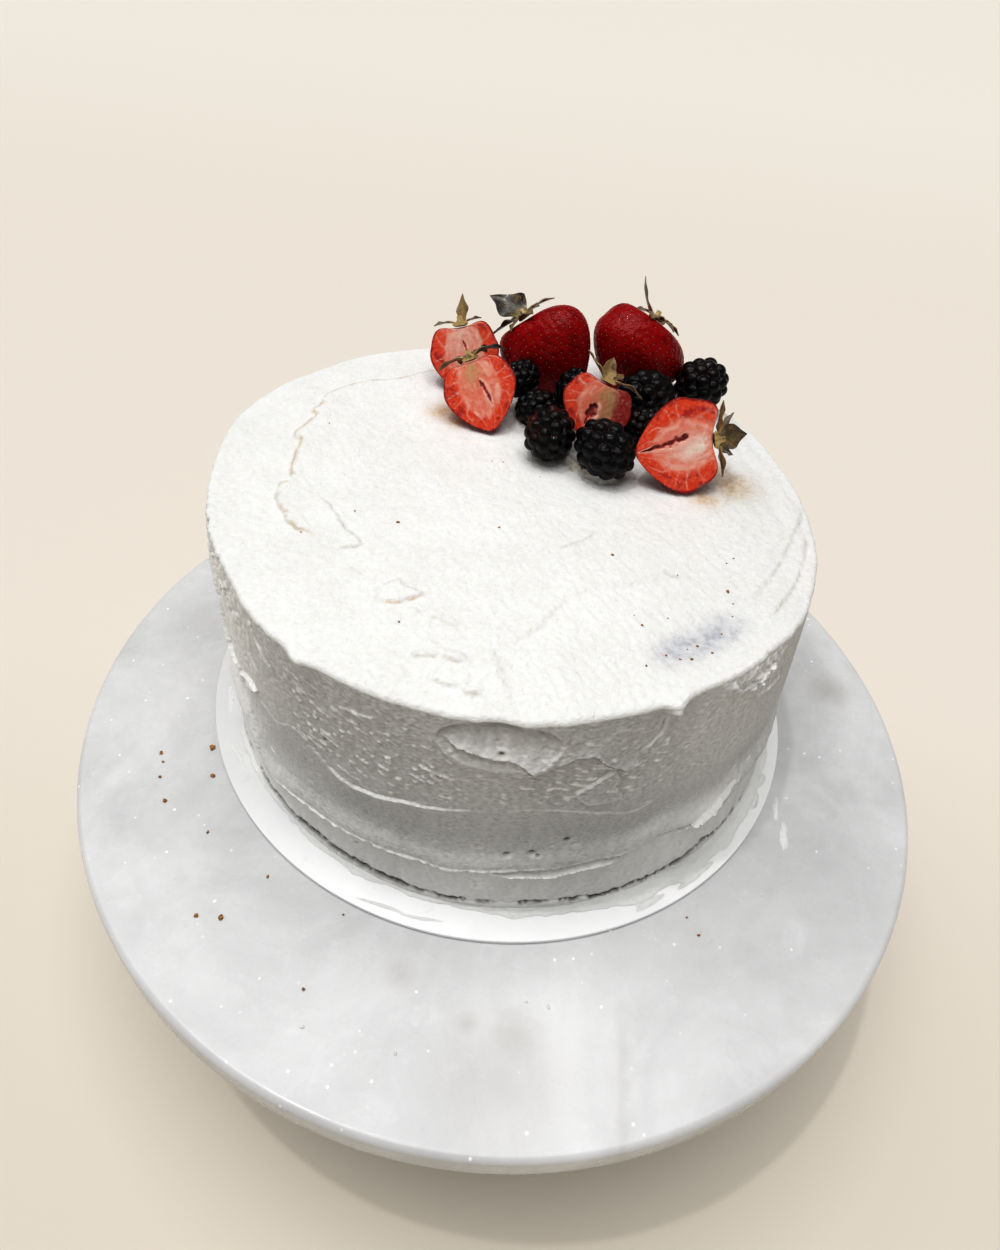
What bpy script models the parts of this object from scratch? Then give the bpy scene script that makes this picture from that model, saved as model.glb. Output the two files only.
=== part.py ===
"""A round buttercream cake with berries on top, on its board and a marble cake stand.

Metres, +Z up. The origin is the centre of the foot's underside, and -Y is the side of the
cake that was scraped with a palette knife.
"""

import math

import bmesh
import bpy
import numpy as np
from mathutils import Matrix, Vector

GAP = 0.0003  # left between pieces that touch

# Marble stand
PLATE_RADIUS = 0.160
PLATE_THICKNESS = 0.012
PLATE_EASED_EDGE = 0.0025
FOOT_HEIGHT = 0.078
FOOT_BASE_RADIUS = 0.068
FOOT_BASE_THICKNESS = 0.011
FOOT_WAIST_RADIUS = 0.024
FOOT_TOP_RADIUS = 0.058

# Cake board
BOARD_RADIUS = 0.1143
BOARD_THICKNESS = 0.0016
BOARD_CENTRE = (-0.0022, 0.0163)

# Cake: its side tapers a little and leans to the back left
CAKE_TOP_ABOVE_PLATE = 0.094
CAKE_BOTTOM_RADIUS = 0.1066
CAKE_TOP_RADIUS = 0.1030
CAKE_BOTTOM_CENTRE = (-0.0010, 0.0199)
CAKE_TOP_CENTRE = (-0.0052, 0.0221)
RIM_ROUNDING = 0.0016

PLATE_TOP = FOOT_HEIGHT + PLATE_THICKNESS
BOARD_BOTTOM = PLATE_TOP + GAP
CAKE_BOTTOM = BOARD_BOTTOM + BOARD_THICKNESS + GAP
CAKE_TOP = PLATE_TOP + CAKE_TOP_ABOVE_PLATE
CAKE_HEIGHT = CAKE_TOP - CAKE_BOTTOM

# Bulges and flats of the icing's outline: degrees round from +X, height, width in degrees
OUTLINE_BUMPS = (
    (162, 0.0034, 16),
    (112, -0.0034, 14),
    (15, -0.0014, 22),
    (-27, 0.0015, 12),
    (-60, -0.0008, 12),
    (-100, 0.0007, 22),
    (-146, -0.0015, 10),
)

# Long knife lines round the side: mean height above the board, its swing, and how far each stands out
LOWER_LEDGE = 0.0245
LOWER_LEDGE_SWING = 0.0035
LOWER_LEDGE_DEPTH = 0.0013
UPPER_LEDGE = 0.0510
UPPER_LEDGE_SWING = 0.0028
UPPER_LEDGE_DEPTH = 0.0008
SIDE_HOLLOW = 0.0013  # between the two ledges
SEAM_HEIGHT = 0.0030
SEAM_DEPTH = 0.0022

# Scoop under the rim: middle and half width in degrees, upper and lower edge, depth
SCOOP_ANGLE = -88.3
SCOOP_HALF_WIDTH = 9.6
SCOOP_TOP = 0.0910
SCOOP_BOTTOM = 0.0725
SCOOP_DEPTH = 0.0046
SCOOP_LIP = 0.0012
SCOOP_DEEPEST = 0.22  # part of the way down
SCOOP_LIP_END = 1.25

# Loose pats of icing on the side: degrees, height, how far it stands out, width in degrees, height of it
SIDE_PATS = (
    (-71.5, 0.0590, 0.0012, 3.6, 0.0046),
    (-141.0, 0.0500, -0.0015, 2.6, 0.0040),
    (-137.0, 0.0555, 0.0016, 2.2, 0.0035),
    (-46.0, 0.0270, 0.0014, 8.0, 0.0030),
    (-60.5, 0.0905, 0.0022, 2.4, 0.0035),
    (-121.5, 0.0900, 0.0018, 2.2, 0.0030),
    (-42.0, 0.0860, 0.0012, 6.0, 0.0030),
    (30.0, 0.0640, 0.0012, 5.0, 0.0050),
    (95.0, 0.0420, 0.0014, 6.0, 0.0050),
    (150.0, 0.0780, 0.0013, 4.0, 0.0045),
)

# Pats and dents of the top: x, y from the top's centre, height, half width
TOP_PATS = (
    (-0.0310, -0.0600, 0.0007, 0.0100),
    (0.0080, -0.0850, 0.0006, 0.0220),
    (0.0600, -0.0620, -0.0010, 0.0170),
    (0.0200, -0.0480, 0.0006, 0.0160),
    (-0.0720, 0.0200, 0.0006, 0.0160),
    (0.0780, 0.0300, -0.0007, 0.0180),
    (-0.0150, 0.0900, 0.0005, 0.0100),
    (-0.0600, 0.0600, -0.0006, 0.0180),
)

CAKE_COLUMN_STEP = 5.0  # degrees
SCOOP_COLUMN_STEP = 2.4
CAKE_TOP_RINGS = (0.93, 0.82, 0.70, 0.58, 0.46, 0.32, 0.16)
RIM_RINGS = ((0.3, 0.42), (1.0, 0.0))  # inset and drop, as parts of the rim's rounding

# Berries: places are measured from the centre of the cake's top
SEPAL_THICKNESS = 0.0006
CALYX_LIFT = 0.0017  # of the sepals' underside over the middle of the berry's end
SEPAL_COLLAR = 0.0030  # radius
SEPAL_SPREADS = (0.74, 1.0, 0.70)  # width at each quarter of a sepal, as a part of the widest
SEPAL_WAVE = 0.0004
DRUPELET_VALLEY = 0.86
DRUPELET_FLANK = 0.965
DRUPELET_FLANK_PART = 0.62  # of the way from its middle to a valley
PLAIN_BELOW = 0.12  # height in a bramble's own sphere under which its drupelets are low

# name, calyx end, tip, width, thickness to width, side that faces out, cut in half,
# height of its shoulders round the calyx, how much more of it is on the left
STRAWBERRIES = (
    ("strawberry_half_left", (-0.0275, 0.0672, 0.0212), (-0.0218, 0.0535, 0.0015),
     0.0268, 0.80, (-0.15, -0.80, 0.58), True, 0.0032, -0.10),
    ("strawberry_half_front_left", (-0.0210, 0.0437, 0.0203), (-0.0106, 0.0291, 0.0020),
     0.0270, 0.80, (-0.15, -0.80, 0.58), True, 0.0022, 0.0),
    ("strawberry_half_middle", (0.0281, 0.0342, 0.0226), (0.0217, 0.0228, 0.0072),
     0.0266, 0.76, (0.12, -0.80, 0.58), True, 0.0026, 0.0),
    ("strawberry_half_right", (0.0651, 0.0146, 0.0171), (0.0395, 0.0096, 0.0120),
     0.0318, 0.72, (0.05, -0.85, 0.52), True, 0.0042, 0.25),
    ("strawberry_whole_left", (-0.0024, 0.0731, 0.0248), (0.0200, 0.0606, 0.0038),
     0.0364, 0.66, (-0.1, -1.0, 0.10), False, 0.0019, 1.0),
    ("strawberry_whole_right", (0.0461, 0.0794, 0.0264), (0.0348, 0.0664, 0.0014),
     0.0404, 0.66, (0.05, -1.0, 0.10), False, 0.0020, 0.70),
)

# Sepals of each calyx: degrees round the stem, length, width, start slope, bend to the tip in degrees
CALYXES = (
    ("calyx_left", "strawberry_half_left",
     ((30, 0.0060, 0.0040, 20, -20), (65, 0.0105, 0.0050, 70, 15), (150, 0.0110, 0.0042, 18, -22))),
    ("calyx_front_left", "strawberry_half_front_left",
     ((15, 0.0115, 0.0055, 25, -60), (65, 0.0110, 0.0062, 40, -60),
      (115, 0.0115, 0.0062, 35, -60), (165, 0.0110, 0.0048, 15, -35))),
    ("calyx_middle", "strawberry_half_middle",
     ((10, 0.0115, 0.0042, 15, -35), (60, 0.0095, 0.0050, 35, -10),
      (105, 0.0085, 0.0062, 60, 10), (160, 0.0105, 0.0056, 35, 0))),
    ("calyx_right", "strawberry_half_right",
     ((8, 0.0100, 0.0060, 7, -7), (46, 0.0090, 0.0058, 33, 15), (87, 0.0125, 0.0084, 62, 10),
      (131, 0.0120, 0.0066, 32, 20), (172, 0.0105, 0.0066, 10, 15))),
    ("calyx_back_left", "strawberry_whole_left",
     ((20, 0.0100, 0.0055, 5, -30), (75, 0.0100, 0.0060, 10, -20), (128, 0.0155, 0.0115, 55, 15),
      (190, 0.0120, 0.0085, 15, -15), (245, 0.0080, 0.0050, 0, -30), (305, 0.0080, 0.0050, 0, -30))),
    ("calyx_back_right", "strawberry_whole_right",
     ((0, 0.0090, 0.0050, 5, -30), (60, 0.0110, 0.0050, 5, -20), (115, 0.0100, 0.0050, 10, -20),
      (172, 0.0135, 0.0044, 28, 40), (245, 0.0080, 0.0050, 0, -30), (305, 0.0080, 0.0050, 0, -30))),
)

# name, middle, half length, half width, long axis, seed
BRAMBLES = (
    ("bramble_front_left", (0.0099, 0.0194, 0.0098), 0.0096, 0.0090, (0.2, 0.3, 0.9), 1),
    ("bramble_front", (0.0294, 0.0126, 0.0104), 0.0114, 0.0096, (0.70, -0.55, -0.30), 2),
    ("bramble_left_low", (0.0046, 0.0388, 0.0078), 0.0080, 0.0068, (1.0, 0.1, 0.2), 3),
    ("bramble_left_high", (-0.0020, 0.0498, 0.0130), 0.0074, 0.0066, (0.3, 0.7, 0.4), 4),
    ("bramble_middle", (0.0173, 0.0468, 0.0107), 0.0102, 0.0070, (0.1, 0.0, 1.0), 5),
    ("bramble_right", (0.0452, 0.0514, 0.0104), 0.0112, 0.0098, (1.0, 0.3, -0.1), 6),
    ("bramble_right_low", (0.0440, 0.0334, 0.0080), 0.0080, 0.0072, (1.0, 0.1, 0.0), 7),
    ("bramble_back_right", (0.0673, 0.0650, 0.0108), 0.0104, 0.0096, (0.9, 0.3, 0.1), 8),
)


def clear_scene():
    for thing in list(bpy.data.objects):
        bpy.data.objects.remove(thing, do_unlink=True)


def finish(name, colour, roughness, metallic=0.0):
    material = bpy.data.materials.new(name)
    material.use_nodes = True
    shader = material.node_tree.nodes["Principled BSDF"]
    shader.inputs["Base Color"].default_value = (*colour, 1.0)
    shader.inputs["Roughness"].default_value = roughness
    shader.inputs["Metallic"].default_value = metallic
    return material


def piece(name, points, faces, material, parent, sharp_degrees=40):
    """An object from points in its parent's frame, its faces turned outwards and shaded smooth."""
    mesh = bpy.data.meshes.new(name)
    mesh.from_pydata([tuple(point) for point in points], [], [tuple(face) for face in faces])
    shape = bmesh.new()
    shape.from_mesh(mesh)
    bmesh.ops.recalc_face_normals(shape, faces=shape.faces)
    shape.to_mesh(mesh)
    shape.free()
    mesh.shade_smooth()
    mesh.set_sharp_from_angle(angle=math.radians(sharp_degrees))
    mesh.materials.append(material)
    made = bpy.data.objects.new(name, mesh)
    bpy.context.scene.collection.objects.link(made)
    made.parent = parent
    return made


def holder(name, place, parent=None):
    """An empty that places the pieces parented to it."""
    empty = bpy.data.objects.new(name, None)
    bpy.context.scene.collection.objects.link(empty)
    empty.parent = parent
    empty.location = place
    return empty


def skin(rings, first_pole, last_pole):
    """Points and faces of a closed surface through equal rings of points, with a pole at each end."""
    count = len(rings[0])
    points = [first_pole] + [point for ring in rings for point in ring] + [last_pole]
    last = len(points) - 1
    faces = []
    for i in range(count):
        j = (i + 1) % count
        faces.append((0, 1 + j, 1 + i))
        for row in range(len(rings) - 1):
            low = 1 + row * count
            high = low + count
            faces.append((low + i, low + j, high + j, high + i))
        top = 1 + (len(rings) - 1) * count
        faces.append((top + i, top + j, last))
    return points, faces


def turned(profile, segments):
    """Points and faces of a profile of (radius, height) turned round the Z axis."""
    rings = []
    for radius, height in profile:
        turns = [2 * math.pi * k / segments for k in range(segments)]
        rings.append([(radius * math.cos(a), radius * math.sin(a), height) for a in turns])
    return skin(rings, (0, 0, profile[0][1]), (0, 0, profile[-1][1]))


def arc_profile(centre, radii, start, end, steps):
    """Points of (radius, height) along an elliptic arc between two angles in degrees."""
    angles = [math.radians(start + (end - start) * k / steps) for k in range(steps + 1)]
    return [(centre[0] + radii[0] * math.cos(a), centre[1] + radii[1] * math.sin(a)) for a in angles]


def bump(distance, width):
    return math.exp(-((distance / width) ** 2))


def turn_between(a, b):
    """The smallest turn in degrees from b to a."""
    return (a - b + 180) % 360 - 180


def blend(start, end, part):
    return start + (end - start) * part


def ramp(value, low, high):
    """0 below low, 1 above high, and smooth between."""
    part = min(max((value - low) / (high - low), 0.0), 1.0)
    return part * part * (3 - 2 * part)


# --- Stand and board ---


def make_stand(material):
    """The foot, turned with a waist, and the eased marble plate on it."""
    rise = FOOT_HEIGHT - GAP
    neck = 0.030
    flare_height = rise - 0.007 - neck
    foot = [(FOOT_BASE_RADIUS - 0.0015, 0.0), (FOOT_BASE_RADIUS, 0.0015)]
    base_top = FOOT_BASE_THICKNESS
    foot += [(FOOT_BASE_RADIUS, base_top - 0.002), (FOOT_BASE_RADIUS - 0.002, base_top)]
    sweep_in = FOOT_BASE_RADIUS - 0.006 - FOOT_WAIST_RADIUS
    foot += arc_profile(
        (FOOT_WAIST_RADIUS + sweep_in, neck + 0.001), (sweep_in, neck - FOOT_BASE_THICKNESS), -90, -180, 4
    )
    sweep_out = FOOT_TOP_RADIUS - FOOT_WAIST_RADIUS
    foot += arc_profile((FOOT_TOP_RADIUS, neck + 0.002), (sweep_out, flare_height), 180, 90, 4)
    foot += [(FOOT_TOP_RADIUS + 0.001, rise)]
    points, faces = turned(foot, 36)
    stand = holder("stand", (0, 0, 0))
    piece("stand_foot", points, faces, material, stand)

    plate = [(PLATE_RADIUS - 0.0012, 0.0), (PLATE_RADIUS, 0.0012)]
    corner = (PLATE_RADIUS - PLATE_EASED_EDGE, PLATE_THICKNESS - PLATE_EASED_EDGE)
    plate += arc_profile(corner, (PLATE_EASED_EDGE, PLATE_EASED_EDGE), 0, 90, 3)
    points, faces = turned(plate, 72)
    made = piece("stand_plate", points, faces, material, stand)
    made.location = (0, 0, FOOT_HEIGHT)


def make_board(material):
    edge = BOARD_THICKNESS / 4
    profile = [(BOARD_RADIUS - edge, 0.0), (BOARD_RADIUS, edge)]
    profile += [(BOARD_RADIUS, BOARD_THICKNESS - edge), (BOARD_RADIUS - edge, BOARD_THICKNESS)]
    points, faces = turned(profile, 72)
    made = piece("cake_board", points, faces, material, None)
    made.location = (*BOARD_CENTRE, BOARD_BOTTOM)


# --- Cake ---


def lower_ledge(angle):
    turn = math.radians(angle)
    swing = 0.7 * math.cos(turn + 1.05) + 0.3 * math.cos(3 * turn + 0.6)
    return LOWER_LEDGE + LOWER_LEDGE_SWING * swing


def upper_ledge(angle):
    turn = math.radians(angle)
    swing = 0.6 * math.cos(2 * turn + 3.0) + 0.4 * math.cos(5 * turn + 0.9)
    return UPPER_LEDGE + UPPER_LEDGE_SWING * swing


def scoop(angle, height):
    """How far the scoop cuts in, deepest just under its upper edge, with a lip along its lower one."""
    across = turn_between(angle, SCOOP_ANGLE) / SCOOP_HALF_WIDTH
    if abs(across) >= 1:
        return 0.0
    lens = math.sqrt(1 - across * across)
    middle = (SCOOP_TOP + SCOOP_BOTTOM) / 2
    half = (SCOOP_TOP - SCOOP_BOTTOM) / 2
    down = (middle + half * lens - height) / (2 * half * lens)
    if not 0 < down < SCOOP_LIP_END:
        return 0.0
    if down < SCOOP_DEEPEST:
        return SCOOP_DEPTH * lens * ramp(down, 0.0, SCOOP_DEEPEST)
    if down < 1:
        return blend(SCOOP_DEPTH, -SCOOP_LIP, (down - SCOOP_DEEPEST) / (1 - SCOOP_DEEPEST)) * lens
    return -SCOOP_LIP * lens * (1 - ramp(down, 1.0, SCOOP_LIP_END))


def cake_axis(height):
    part = height / CAKE_HEIGHT
    return [blend(CAKE_BOTTOM_CENTRE[k], CAKE_TOP_CENTRE[k], part) for k in (0, 1)]


def cake_radius(angle, height):
    """The icing's distance from its own axis, with its knife lines, scoop and pats."""
    part = height / CAKE_HEIGHT
    radius = blend(CAKE_BOTTOM_RADIUS, CAKE_TOP_RADIUS, part)
    for middle, rise, width in OUTLINE_BUMPS:
        radius += rise * bump(turn_between(angle, middle), width) * ramp(part, -0.2, 0.9)
    low, high = lower_ledge(angle), upper_ledge(angle)
    if height <= low:
        radius -= 0.0004 * bump(height - low / 2, low / 3)
    else:
        radius += LOWER_LEDGE_DEPTH * (1 - ramp(height, low + 0.001, low + 0.008))
        radius -= SIDE_HOLLOW * bump(height - (low + high) / 2, (high - low) / 3)
    radius += UPPER_LEDGE_DEPTH * ramp(height, high - 0.004, high) * (1 - ramp(height, high, high + 0.002))
    radius -= SEAM_DEPTH * bump(height - SEAM_HEIGHT, 0.0016)
    for middle, level, rise, width, tall in SIDE_PATS:
        radius += rise * bump(turn_between(angle, middle), width) * bump(height - level, tall)
    return radius - scoop(angle, height)


def cake_top_level(x, y):
    """Height of the icing's top over its nominal plane, at a place from the top's centre."""
    level = 0.0
    for pat_x, pat_y, rise, width in TOP_PATS:
        level += rise * bump(math.hypot(x - pat_x, y - pat_y), width)
    return level


def cake_rows(angle):
    """Heights of the side's rows, which follow the knife lines so that these stay crisp."""
    low, high = lower_ledge(angle), upper_ledge(angle)
    rows = [0.0, 0.0012, SEAM_HEIGHT, 0.0052, 0.010, low - 0.0006, low + 0.0006, low + 0.006]
    rows += [blend(low, high, 0.5), high - 0.005, high, high + 0.0022]
    start = high + 0.0055
    rim = CAKE_HEIGHT - RIM_ROUNDING
    rows += [blend(start, rim, part) for part in (0.0, 0.24, 0.44, 0.60, 0.74, 0.87, 1.0)]
    return rows


def cake_columns():
    """Angles round the cake in degrees, closer together where the scoop is."""
    angles = []
    angle = -180.0
    while angle < 180 - CAKE_COLUMN_STEP / 2:
        angles.append(angle)
        near_scoop = abs(turn_between(angle + 1, SCOOP_ANGLE)) < 2.1 * SCOOP_HALF_WIDTH
        angle += SCOOP_COLUMN_STEP if near_scoop else CAKE_COLUMN_STEP
    return angles


def make_cake(material):
    columns = cake_columns()
    side = []
    for angle in columns:
        turn = math.radians(angle)
        column = []
        for height in cake_rows(angle):
            radius = cake_radius(angle, height)
            axis = cake_axis(height)
            column.append((axis[0] + radius * math.cos(turn), axis[1] + radius * math.sin(turn), height))
        side.append(column)
    rings = [list(ring) for ring in zip(*side)]
    edge = rings[-1]
    for inset, drop in RIM_RINGS:
        rings.append([cake_top_point(point, inset * RIM_ROUNDING, drop * RIM_ROUNDING) for point in edge])
    for part in CAKE_TOP_RINGS:
        inset = (1 - part) * CAKE_TOP_RADIUS
        rings.append([cake_top_point(point, inset, 0.0) for point in edge])
    middle = (*CAKE_TOP_CENTRE, CAKE_HEIGHT + cake_top_level(0, 0))
    points, faces = skin(rings, (*CAKE_BOTTOM_CENTRE, 0.0), middle)
    made = piece("cake", points, faces, material, None, sharp_degrees=60)
    made.location = (0, 0, CAKE_BOTTOM)


def cake_top_point(edge_point, inset, drop):
    """A point of the top, a distance in from a point of its edge."""
    x, y = edge_point[0] - CAKE_TOP_CENTRE[0], edge_point[1] - CAKE_TOP_CENTRE[1]
    reach = math.hypot(x, y)
    part = (reach - inset * reach / CAKE_TOP_RADIUS) / reach
    x, y = x * part, y * part
    return (CAKE_TOP_CENTRE[0] + x, CAKE_TOP_CENTRE[1] + y, CAKE_HEIGHT - drop + cake_top_level(x, y))


# --- Strawberries ---


def facing(calyx, tip, outwards):
    """A berry's frame: its origin at the calyx, +Z away from the tip and -Y the side that faces out."""
    up = (Vector(calyx) - Vector(tip)).normalized()
    back = -(Vector(outwards) - up * up.dot(Vector(outwards))).normalized()
    across = back.cross(up)
    turn = Matrix((across, back, up)).transposed()
    return Matrix.Translation(Vector(calyx)) @ turn.to_4x4()


def strawberry_outline(part, length, radius):
    """Radius, height and share of the shoulder of a strawberry's skin, from its calyx at part 0 to its tip."""
    across = radius * math.sin(math.pi * part**0.84) ** 0.70
    return across, -length * part**1.25, math.sin(math.pi * min(part / 0.3, 1.0))


def make_strawberry(name, calyx, tip, width, thickness, outwards, cut, rise, leftwards, material, parent):
    """A strawberry, or its back half with a flat cut face, lobed a little so that no two are alike."""
    length = (Vector(calyx) - Vector(tip)).length
    lobes = len(name) + width * 1000
    parts = (0.02, 0.07, 0.15, 0.26, 0.39, 0.53, 0.67, 0.80, 0.91, 0.98)
    sides = 11 if cut else 20
    rings = []
    for part in parts:
        across, height, shoulder = strawberry_outline(part, length, width / 2)
        ring = []
        for k in range(sides + 1 if cut else sides):
            turn = math.pi * k / sides if cut else 2 * math.pi * k / sides
            uneven = 0.03 * math.sin(2 * turn + lobes) + 0.02 * math.sin(3 * turn + 2 * lobes + 4 * part)
            reach = across * (1 + uneven)
            lift = rise * shoulder * (1 - leftwards * math.cos(turn))
            ring.append((reach * math.cos(turn), reach * thickness * math.sin(turn), height + lift))
        if cut:
            ring.append((0.0, -0.0004 * math.sin(math.pi * part), height))
        rings.append(ring)
    points, faces = skin(rings, (0, 0, 0), (0, 0, -length))
    made = piece(name, points, faces, material, parent, sharp_degrees=50)
    made.matrix_basis = facing(calyx, tip, outwards)
    return made


def sepal_spine(length, start_slope, bend, steps, foot):
    """Distances out and up along a sepal's middle, which starts at its foot and bends towards its tip."""
    spine = [foot]
    for step in range(steps):
        slope = math.radians(start_slope + bend * (step + 0.5) / steps)
        out, up = spine[-1]
        spine.append((out + length / steps * math.cos(slope), up + length / steps * math.sin(slope)))
    return spine


def calyx_sheet(sepals, whole):
    """Upper points, boundary and triangles of a star of sepals; a cut berry keeps a half star."""
    points = [Vector((0, 0, CALYX_LIFT))]
    triangles = []
    rim = []
    count = len(sepals)
    valleys = []
    for k in range(count if whole else count + 1):
        if whole:
            turn = sepals[k][0] + turn_between(sepals[(k + 1) % count][0], sepals[k][0]) / 2
        else:
            turn = 180 * k / count
        angle = math.radians(turn)
        valleys.append(len(points))
        rim_point = (SEPAL_COLLAR * math.cos(angle), SEPAL_COLLAR * math.sin(angle), CALYX_LIFT + 0.0002)
        points.append(Vector(rim_point))
    for k, (degrees, length, width, start_slope, bend) in enumerate(sepals):
        right = valleys[k - 1] if whole else valleys[k]
        left = valleys[k] if whole else valleys[k + 1]
        angle = math.radians(degrees)
        out = Vector((math.cos(angle), math.sin(angle), 0))
        across = Vector((-math.sin(angle), math.cos(angle), 0))
        spine = sepal_spine(length, start_slope, bend, 4, (SEPAL_COLLAR, CALYX_LIFT + 0.0006))
        middle = len(points)
        points.append(out * spine[0][0] + Vector((0, 0, spine[0][1])))
        triangles += [(0, right, middle), (0, middle, left)]
        row = (right, middle, left)
        rim_right, rim_left = [right], [left]
        for step, spread in enumerate(SEPAL_SPREADS, start=1):
            place = out * spine[step][0] + Vector((0, 0, spine[step][1]))
            aside = across * width / 2 * spread
            wave = Vector((0, 0, SEPAL_WAVE * math.sin(2.3 * step + degrees)))
            start = len(points)
            points += [place - aside + wave, place, place + aside - wave]
            new_row = (start, start + 1, start + 2)
            for i in (0, 1):
                triangles += [(row[i], new_row[i], new_row[i + 1]), (row[i], new_row[i + 1], row[i + 1])]
            row = new_row
            rim_right.append(row[0])
            rim_left.append(row[2])
        end = len(points)
        points.append(out * spine[4][0] + Vector((0, 0, spine[4][1])))
        triangles += [(row[0], end, row[1]), (row[1], end, row[2])]
        rim += rim_right + [end] + rim_left[::-1][:-1]
    if not whole:
        rim += [valleys[-1], 0]
    return points, triangles, rim


def make_calyx(name, berry, sepals, material, parent, whole):
    """A thin star of leaves that lies over the berry's shoulder."""
    under, triangles, rim = calyx_sheet(sepals, whole)
    normals = [Vector((0, 0, 0)) for _ in under]
    for a, b, c in triangles:
        normal = (under[b] - under[a]).cross(under[c] - under[a])
        for corner in (a, b, c):
            normals[corner] += normal
    upper = [point + normal.normalized() * SEPAL_THICKNESS for point, normal in zip(under, normals)]
    count = len(under)
    faces = [(c, b, a) for a, b, c in triangles]
    faces += [(a + count, b + count, c + count) for a, b, c in triangles]
    for a, b in zip(rim, rim[1:] + rim[:1]):
        faces += [(a, b, b + count), (a, b + count, a + count)]
    made = piece(name, under + upper, faces, material, parent, sharp_degrees=60)
    made.matrix_basis = berry.matrix_basis
    return made


# --- Brambles ---


def make_bramble(name, middle, half_length, half_width, axis, seed, material, parent):
    """A bramble: each of 42 drupelets is a low dome over the valleys between it and its neighbours."""
    draw = np.random.default_rng(seed)
    lattice = bmesh.new()
    bmesh.ops.create_icosphere(lattice, subdivisions=2, radius=1.0)
    spin = Matrix.Rotation(draw.uniform(0, math.tau), 3, "Z") @ Matrix.Rotation(draw.uniform(0, 1), 3, "X")
    points = []
    faces = []
    for drupelet in lattice.verts:
        points.append(spin @ drupelet.co * draw.uniform(0.985, 1.03))
    valleys = {}
    for face in lattice.faces:
        valleys[face.index] = len(points)
        points.append(spin @ face.calc_center_median().normalized() * DRUPELET_VALLEY)
    turn = bramble_turn(axis)
    for drupelet in lattice.verts:
        around = ordered_faces(drupelet)
        low = [valleys[face.index] for face in around]
        if (turn @ (spin @ drupelet.co)).z < PLAIN_BELOW:
            faces += [(drupelet.index, low[k - 1], low[k]) for k in range(len(low))]
            continue
        centre = points[drupelet.index]
        flank = []
        for valley in low:
            flank.append(len(points))
            side = centre.normalized().lerp(points[valley].normalized(), DRUPELET_FLANK_PART).normalized()
            points.append(side * DRUPELET_FLANK * centre.length)
        for k in range(len(low)):
            faces.append((drupelet.index, flank[k - 1], flank[k]))
            faces.append((flank[k - 1], low[k - 1], low[k]))
            faces.append((flank[k - 1], low[k], flank[k]))
    lattice.free()
    shaped = [(p.x * half_width, p.y * half_width, p.z * half_length) for p in points]
    made = piece(name, shaped, faces, material, parent, sharp_degrees=55)
    made.location = middle
    made.rotation_mode = "QUATERNION"
    made.rotation_quaternion = Vector(axis).to_track_quat("Z", "Y")
    return made


def bramble_turn(axis):
    """The turn that a bramble's own frame takes when its long axis points along axis."""
    return Vector(axis).to_track_quat("Z", "Y").to_matrix()


def ordered_faces(corner):
    """The faces round a lattice point, in order."""
    loop = corner.link_loops[0]
    around = [loop.face]
    step = loop.link_loop_prev.link_loop_radial_next
    while step.face != around[0]:
        around.append(step.face)
        step = step.link_loop_prev.link_loop_radial_next
    return around


def make_berries(parent):
    skin_red = finish("strawberry_skin", (0.19, 0.006, 0.008), 0.25)
    cut_red = finish("strawberry_flesh", (0.60, 0.10, 0.055), 0.35)
    leaf = finish("calyx_leaf", (0.19, 0.15, 0.08), 0.6)
    dark = finish("bramble_skin", (0.012, 0.009, 0.012), 0.2)
    berries = {}
    whole = {}
    for name, *form in STRAWBERRIES:
        cut = form[5]
        berries[name] = make_strawberry(name, *form, cut_red if cut else skin_red, parent)
        whole[name] = not cut
    for name, berry, sepals in CALYXES:
        make_calyx(name, berries[berry], sepals, leaf, parent, whole[berry])
    for name, middle, half_length, half_width, axis, seed in BRAMBLES:
        make_bramble(name, middle, half_length, half_width, axis, seed, dark, parent)


def main():
    clear_scene()
    marble = finish("marble", (0.62, 0.62, 0.61), 0.22)
    card = finish("board_card", (0.86, 0.87, 0.88), 0.3)
    icing = finish("buttercream", (0.86, 0.86, 0.83), 0.45)
    make_stand(marble)
    make_board(card)
    make_cake(icing)
    make_berries(holder("toppings", (*CAKE_TOP_CENTRE, CAKE_TOP)))


main()
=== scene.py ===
"""The looks of a round buttercream cake with berries, its board and its marble stand.

Metres, +Z up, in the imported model's frame. Knife marks, crumbs and smears are given in
millimetres from the middle of the marble plate's top, and on the cake's side as degrees
round from +X and millimetres above the marble.
"""

import itertools
import math

import bmesh
import bpy
import numpy as np
from mathutils import Matrix, Vector


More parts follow.
